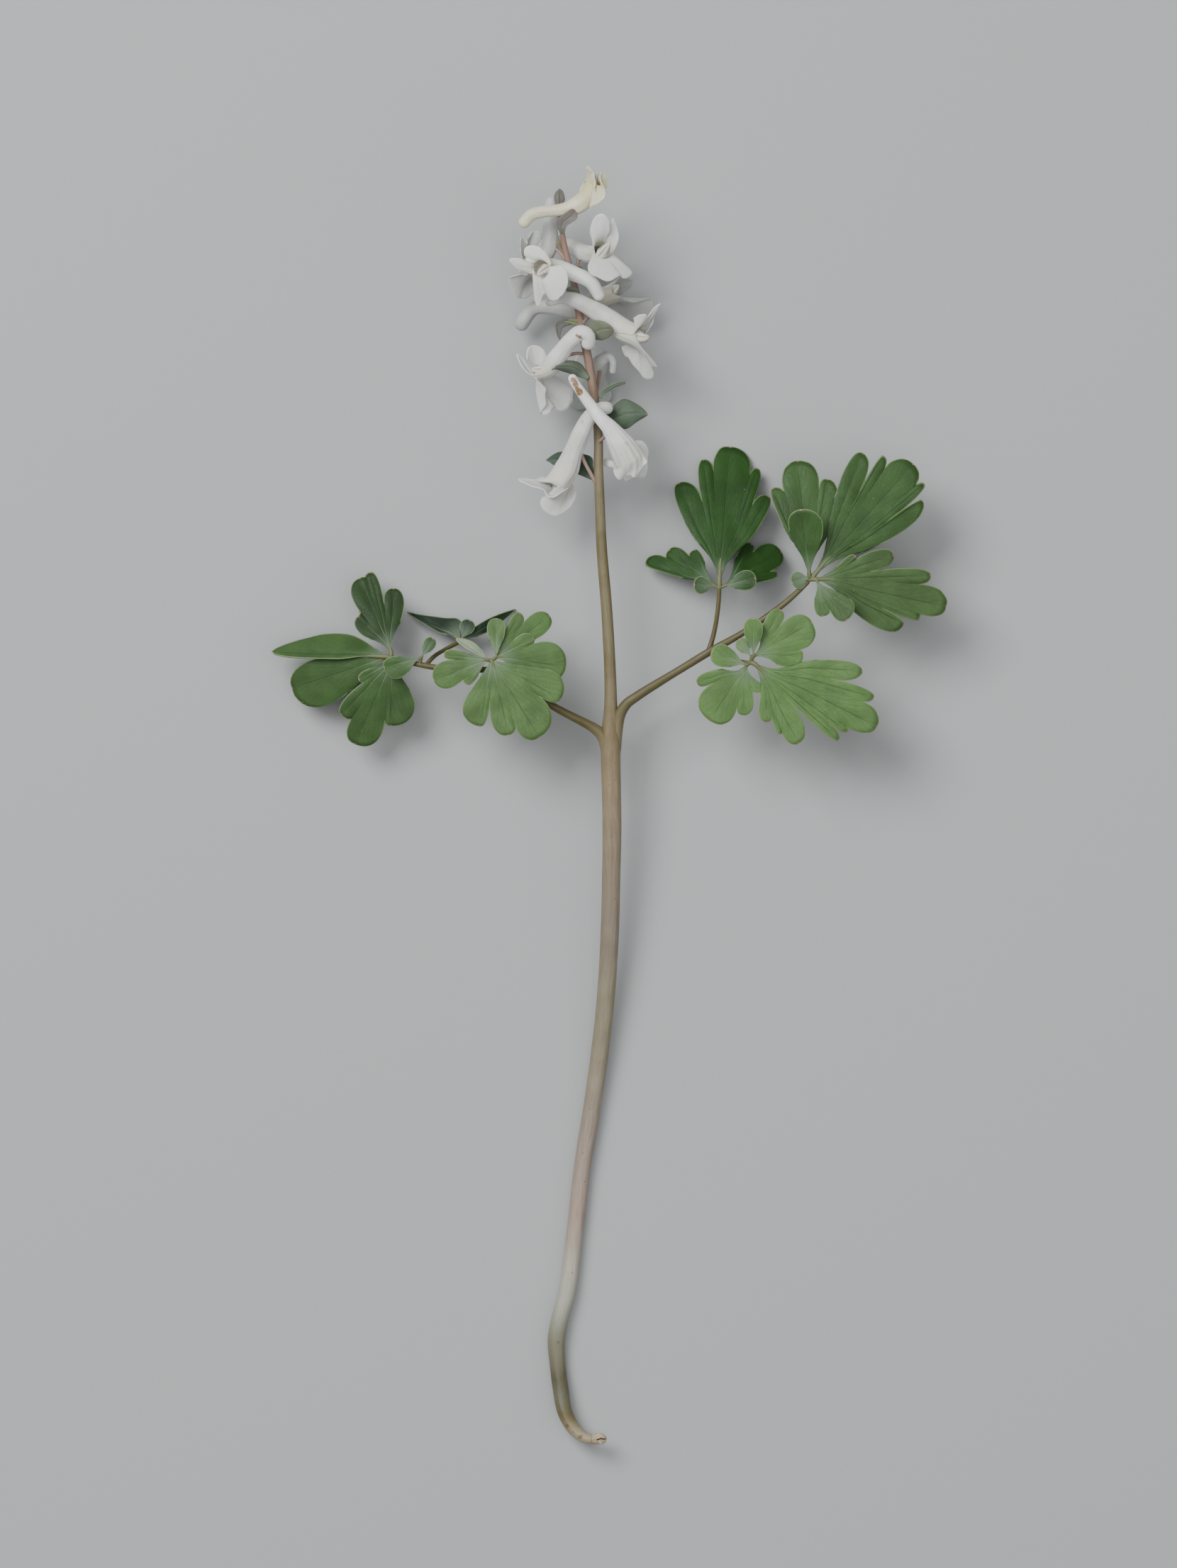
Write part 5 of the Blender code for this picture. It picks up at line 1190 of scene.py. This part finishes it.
# spur, tube and lip in one sheet; sign 1 is the upper petal and -1 the lower one
def formPetal(line, mouthAt, sign, rim, shape, seed):
    around = shape["around"] if sign > 0 else shape["aroundLower"]
    swell = shape["swell"] if sign > 0 else shape["lowerSwell"]
    caps = shape["caps"] if sign > 0 else 0
    tube, lip = len(line) - 1, shape["lip"]
    step = lengthOf([row[0] for row in line]) / tube
    mouth, forward = line[-1][0], line[-1][2]

    def opening(k):
        t = k / tube
        if sign > 0:
            return math.pi * (1.0 + (shape["throat"] - 1.0) * ease(t, mouthAt, mouthAt + 0.35))
        return math.pi * shape["lowerThroat"] * (0.12 + 0.88 * ease(t, 0.0, 0.22) ** 0.5)

    def ringPoint(i, k, back=0.0, squeeze=1.0):
        here, radius, ahead, upward, sideways = line[k]
        turn = (2.0 * i / around - 1.0) * opening(k)
        ribs = shape["ribs"] * math.cos(shape["ribCount"] * turn + 0.6 * math.sin(k * 0.3 + seed))
        pleat = -shape["pleat"] * math.exp(-((abs(turn) - shape["pleatAt"] * math.pi) / 0.16) ** 2)
        loose = shape["loose"] * wobble(i * 0.4, k * 0.45, seed, 2.6)
        spread = radius * swell * squeeze * (1 + (ribs + pleat + loose) * ease(k, 2, 10))
        return (here - ahead * back + (upward * math.cos(turn) * sign
                                       + sideways * math.sin(turn)) * spread)

    throat = [ringPoint(i, tube) for i in range(around + 1)]
    edge = evenLine(smoothLine(rim, 8), around)
    if ((edge[0] - throat[0]).length + (edge[-1] - throat[-1]).length
            > (edge[-1] - throat[0]).length + (edge[0] - throat[-1]).length):
        edge.reverse()

    def place(i, j):
        if j < caps:
            turn = 0.5 * math.pi * j / caps
            return ringPoint(i, 0, line[0][1] * math.cos(turn), math.sin(turn))
        k = j - caps
        if k <= tube:
            spot = ringPoint(i, k)
            uneven = shape["uneven"] * wobble(i * 0.5, k * 0.5, seed, 4.0)
            return spot + (spot - line[k][0]).normalized() * uneven
        t = (k - tube) / lip
        start, end = throat[i], edge[i]
        far = (end - start).length
        handle = start + forward * far * shape["reach"]
        spot = start * (1 - t) ** 2 + handle * 2 * t * (1 - t) + end * t ** 2
        u = i / around
        outward = (end - start).normalized()
        across = outward.cross(edge[min(i + 1, around)] - edge[max(i - 1, 0)]).normalized()
        ripple = shape["frill"] * t ** 3 * wobble(u * 20, 0.4 * t, seed + 5, 1.0)
        fold = 0.5 * shape["frill"] * t * wobble(u * 7, 0.8 * t, seed + 9, 1.0)
        jag = shape["jag"] * t ** 4 * wobble(u * 38, 0.0, seed + 13, 1.0)
        return spot + across * (ripple + fold) + outward * jag

    def paint(near, i, j):
        k = j - caps
        if k <= tube:
            return (i / around, (k - tube) * step), (9.0, 0.5)
        t = (k - tube) / lip
        far = (edge[i] - throat[i]).length
        return (i / around, t * far), ((1 - t) * far, 0.5)

    form = formSheet(around, caps + tube + lip, place, paint)
    form.verts.ensure_lookup_table()
    soft = [vert for vert in form.verts
            if (vert.co / mm - mouth).dot(forward) > shape["softFrom"]]
    for _pass in range(shape["soften"]):
        bmesh.ops.smooth_vert(form, verts=soft, factor=0.5, use_axis_x=True, use_axis_y=True,
                              use_axis_z=True)
    return form


# the joined inner pair: two hoods with a slit between them, winged backs and one dark tip
innerShape = {"around": 64, "rows": 40, "steps": 240, "wide": 0.62, "tall": 0.95, "blunt": 2.2,
              "taper": 0.25, "slit": 0.6, "wing": 0.34, "ridgeWidth": 0.20, "curl": 0.16,
              "ripple": 0.035}


def formInner(points, up, seed):
    shape = innerShape
    around, rows, steps = shape["around"], shape["rows"], shape["steps"]
    line = followLine(evenLine(smoothLine(points, 12), steps), up)
    total = lengthOf([row[0] for row in line])
    widest = max(point[3] for point in points)
    spans = [0.5 * (1 - math.cos(math.pi * j / rows)) for j in range(rows + 1)]

    def place(i, j):
        t = spans[j]
        here, _radius, _forward, upward, sideways = line[round(t * steps)]
        turn = 2 * math.pi * i / around
        far = abs(t - 0.5) / 0.5
        full = widest * (1 - far ** shape["blunt"]) ** 0.5 * (1.0 - shape["taper"] * t)
        slit = shape["slit"] * math.exp(-(math.sin(turn) / shape["ridgeWidth"]) ** 2)
        slit *= ease(t, 0.15, 0.4) * (1.0 - 0.75 * ease(t, 0.72, 0.95))
        wing = shape["wing"] * math.exp(-(math.cos(turn) / shape["ridgeWidth"]) ** 2)
        wing *= ease(t, 0.2, 0.5) * ease(1 - t, 0.02, 0.3) * (1 + 0.5 * wobble(t * 9, 0, seed, 1))
        wide = full * shape["wide"] * (1 - slit)
        tall = full * shape["tall"] * (1 + wing)
        curl = shape["curl"] * full * math.sin(3.2 * t + seed) * math.sin(turn) ** 2
        ripple = shape["ripple"] * wobble(4 * math.cos(turn), 8 * t + 4 * math.sin(turn), seed, 1)
        return (here + sideways * (math.cos(turn) * wide + curl + ripple * far)
                + upward * (math.sin(turn) * tall + ripple))

    def paint(near, i, j):
        turn = 2 * math.pi * i / around
        return (i / around, total * spans[j]), (9.0, abs(math.cos(turn)))

    return formSheet(around, rows, place, paint), total


def makeFlowers():
    for number, plan in enumerate(flowers, start=1):
        shape = dict(petalShape, **plan.get("shape", {}))
        label = "flower_{:02d}".format(number)
        skin = petalMaterial(label + "_petal", plan, plan.get("stains", []))
        rough = smoothLine(plan["spine"], 10)
        jointAt = plan["joint"] * 10
        share = lengthOf(rough[:jointAt + 1]) / lengthOf(rough)
        line = followLine(evenLine(rough, shape["tube"]), plan["up"])
        form = formPetal(line, share, 1, plan["upper"], shape, number * 1.9)
        addPiece(label + "_upper", form, skin, label + "_upper_petal",
                 shape["thickness"])
        count = max(10, round(shape["tube"] * (1 - share)))
        lowerLine = followLine(evenLine(rough[jointAt:], count), plan["up"])
        form = formPetal(lowerLine, share, -1, plan["lower"], shape, number * 2.3 + 50)
        addPiece(label + "_lower", form, skin, label + "_lower_petal",
                 shape["thickness"])
        here, radius, forward, upward, _sideways = line[-1]
        inner = plan.get("inner") or [(*(here + forward * far + upward * rise),
                                       radius * wide * 0.8) for far, rise, wide in innerDefault]
        ahead = Vector(inner[-1][:3]) - Vector(inner[0][:3])
        form, total = formInner(inner, ahead.cross(Vector((0.0, 0.0, 1.0))), number)
        innerSkin = petalMaterial(label + "_inner", innerTones, [], total)
        addPiece(label + "_inner", form, innerSkin, label + "_inner_petals")


makeFlowers()
print("flowers made")


stagePlan = {"floorSize": 8.0, "floorTone": (172, 174, 175), "speckTone": (150, 152, 153),
             "floorRough": 0.9, "speckShare": 0.04, "spots": (30.0, 900.0),
             "worldTone": (206, 208, 210), "worldLight": 0.34,
             "lens": 200.0, "sensor": 36.0, "height": 1.715, "aim": (-0.0038, 0.0047),
             "lampAim": (0.0, 0.0, 0.01),
             "lamps": {"soft_key": ((-0.62, 0.62, 1.10), 0.7, 20.0),
                       "soft_fill": ((0.8, -0.4, 1.0), 1.2, 4.0),
                       "soft_top": ((0.0, 0.1, 1.5), 1.0, 7.5)}}


def makeStage():
    plan = stagePlan
    form = bmesh.new()
    bmesh.ops.create_grid(form, x_segments=2, y_segments=2, size=plan["floorSize"] / 2)
    mesh = bpy.data.meshes.new("floor")
    form.to_mesh(mesh)
    form.free()
    floor = bpy.data.objects.new("floor", mesh)
    scene.collection.objects.link(floor)
    material, tree, shader = newMaterial("floor_paper", plan["floorRough"])
    specks = times(tree, spotsOf(tree, plan)["Grain"], plan["speckShare"])
    body = blendTone(tree, specks, tone(*plan["floorTone"]), tone(*plan["speckTone"]))
    feed(tree, shader, {"Base Color": body})
    mesh.materials.append(material)

    world = bpy.data.worlds.new("studio")
    world.use_nodes = True
    back = world.node_tree.nodes["Background"]
    back.inputs[0].default_value = tone(*plan["worldTone"])
    back.inputs[1].default_value = plan["worldLight"]
    scene.world = world

    for name, (place, size, power) in plan["lamps"].items():
        light = bpy.data.lights.new(name, "AREA")
        light.size = size
        light.energy = power
        lamp = bpy.data.objects.new(name, light)
        aim = Vector(plan["lampAim"]) - Vector(place)
        lamp.location = place
        lamp.rotation_euler = aim.to_track_quat("-Z", "Y").to_euler()
        lamp.visible_camera = False
        scene.collection.objects.link(lamp)

    view = bpy.data.cameras.new("camera")
    view.lens = plan["lens"]
    view.sensor_width = plan["sensor"]
    view.clip_end = 20.0
    camera = bpy.data.objects.new("camera", view)
    camera.location = (*plan["aim"], plan["height"])
    scene.collection.objects.link(camera)
    scene.camera = camera


makeStage()
print("stage made")
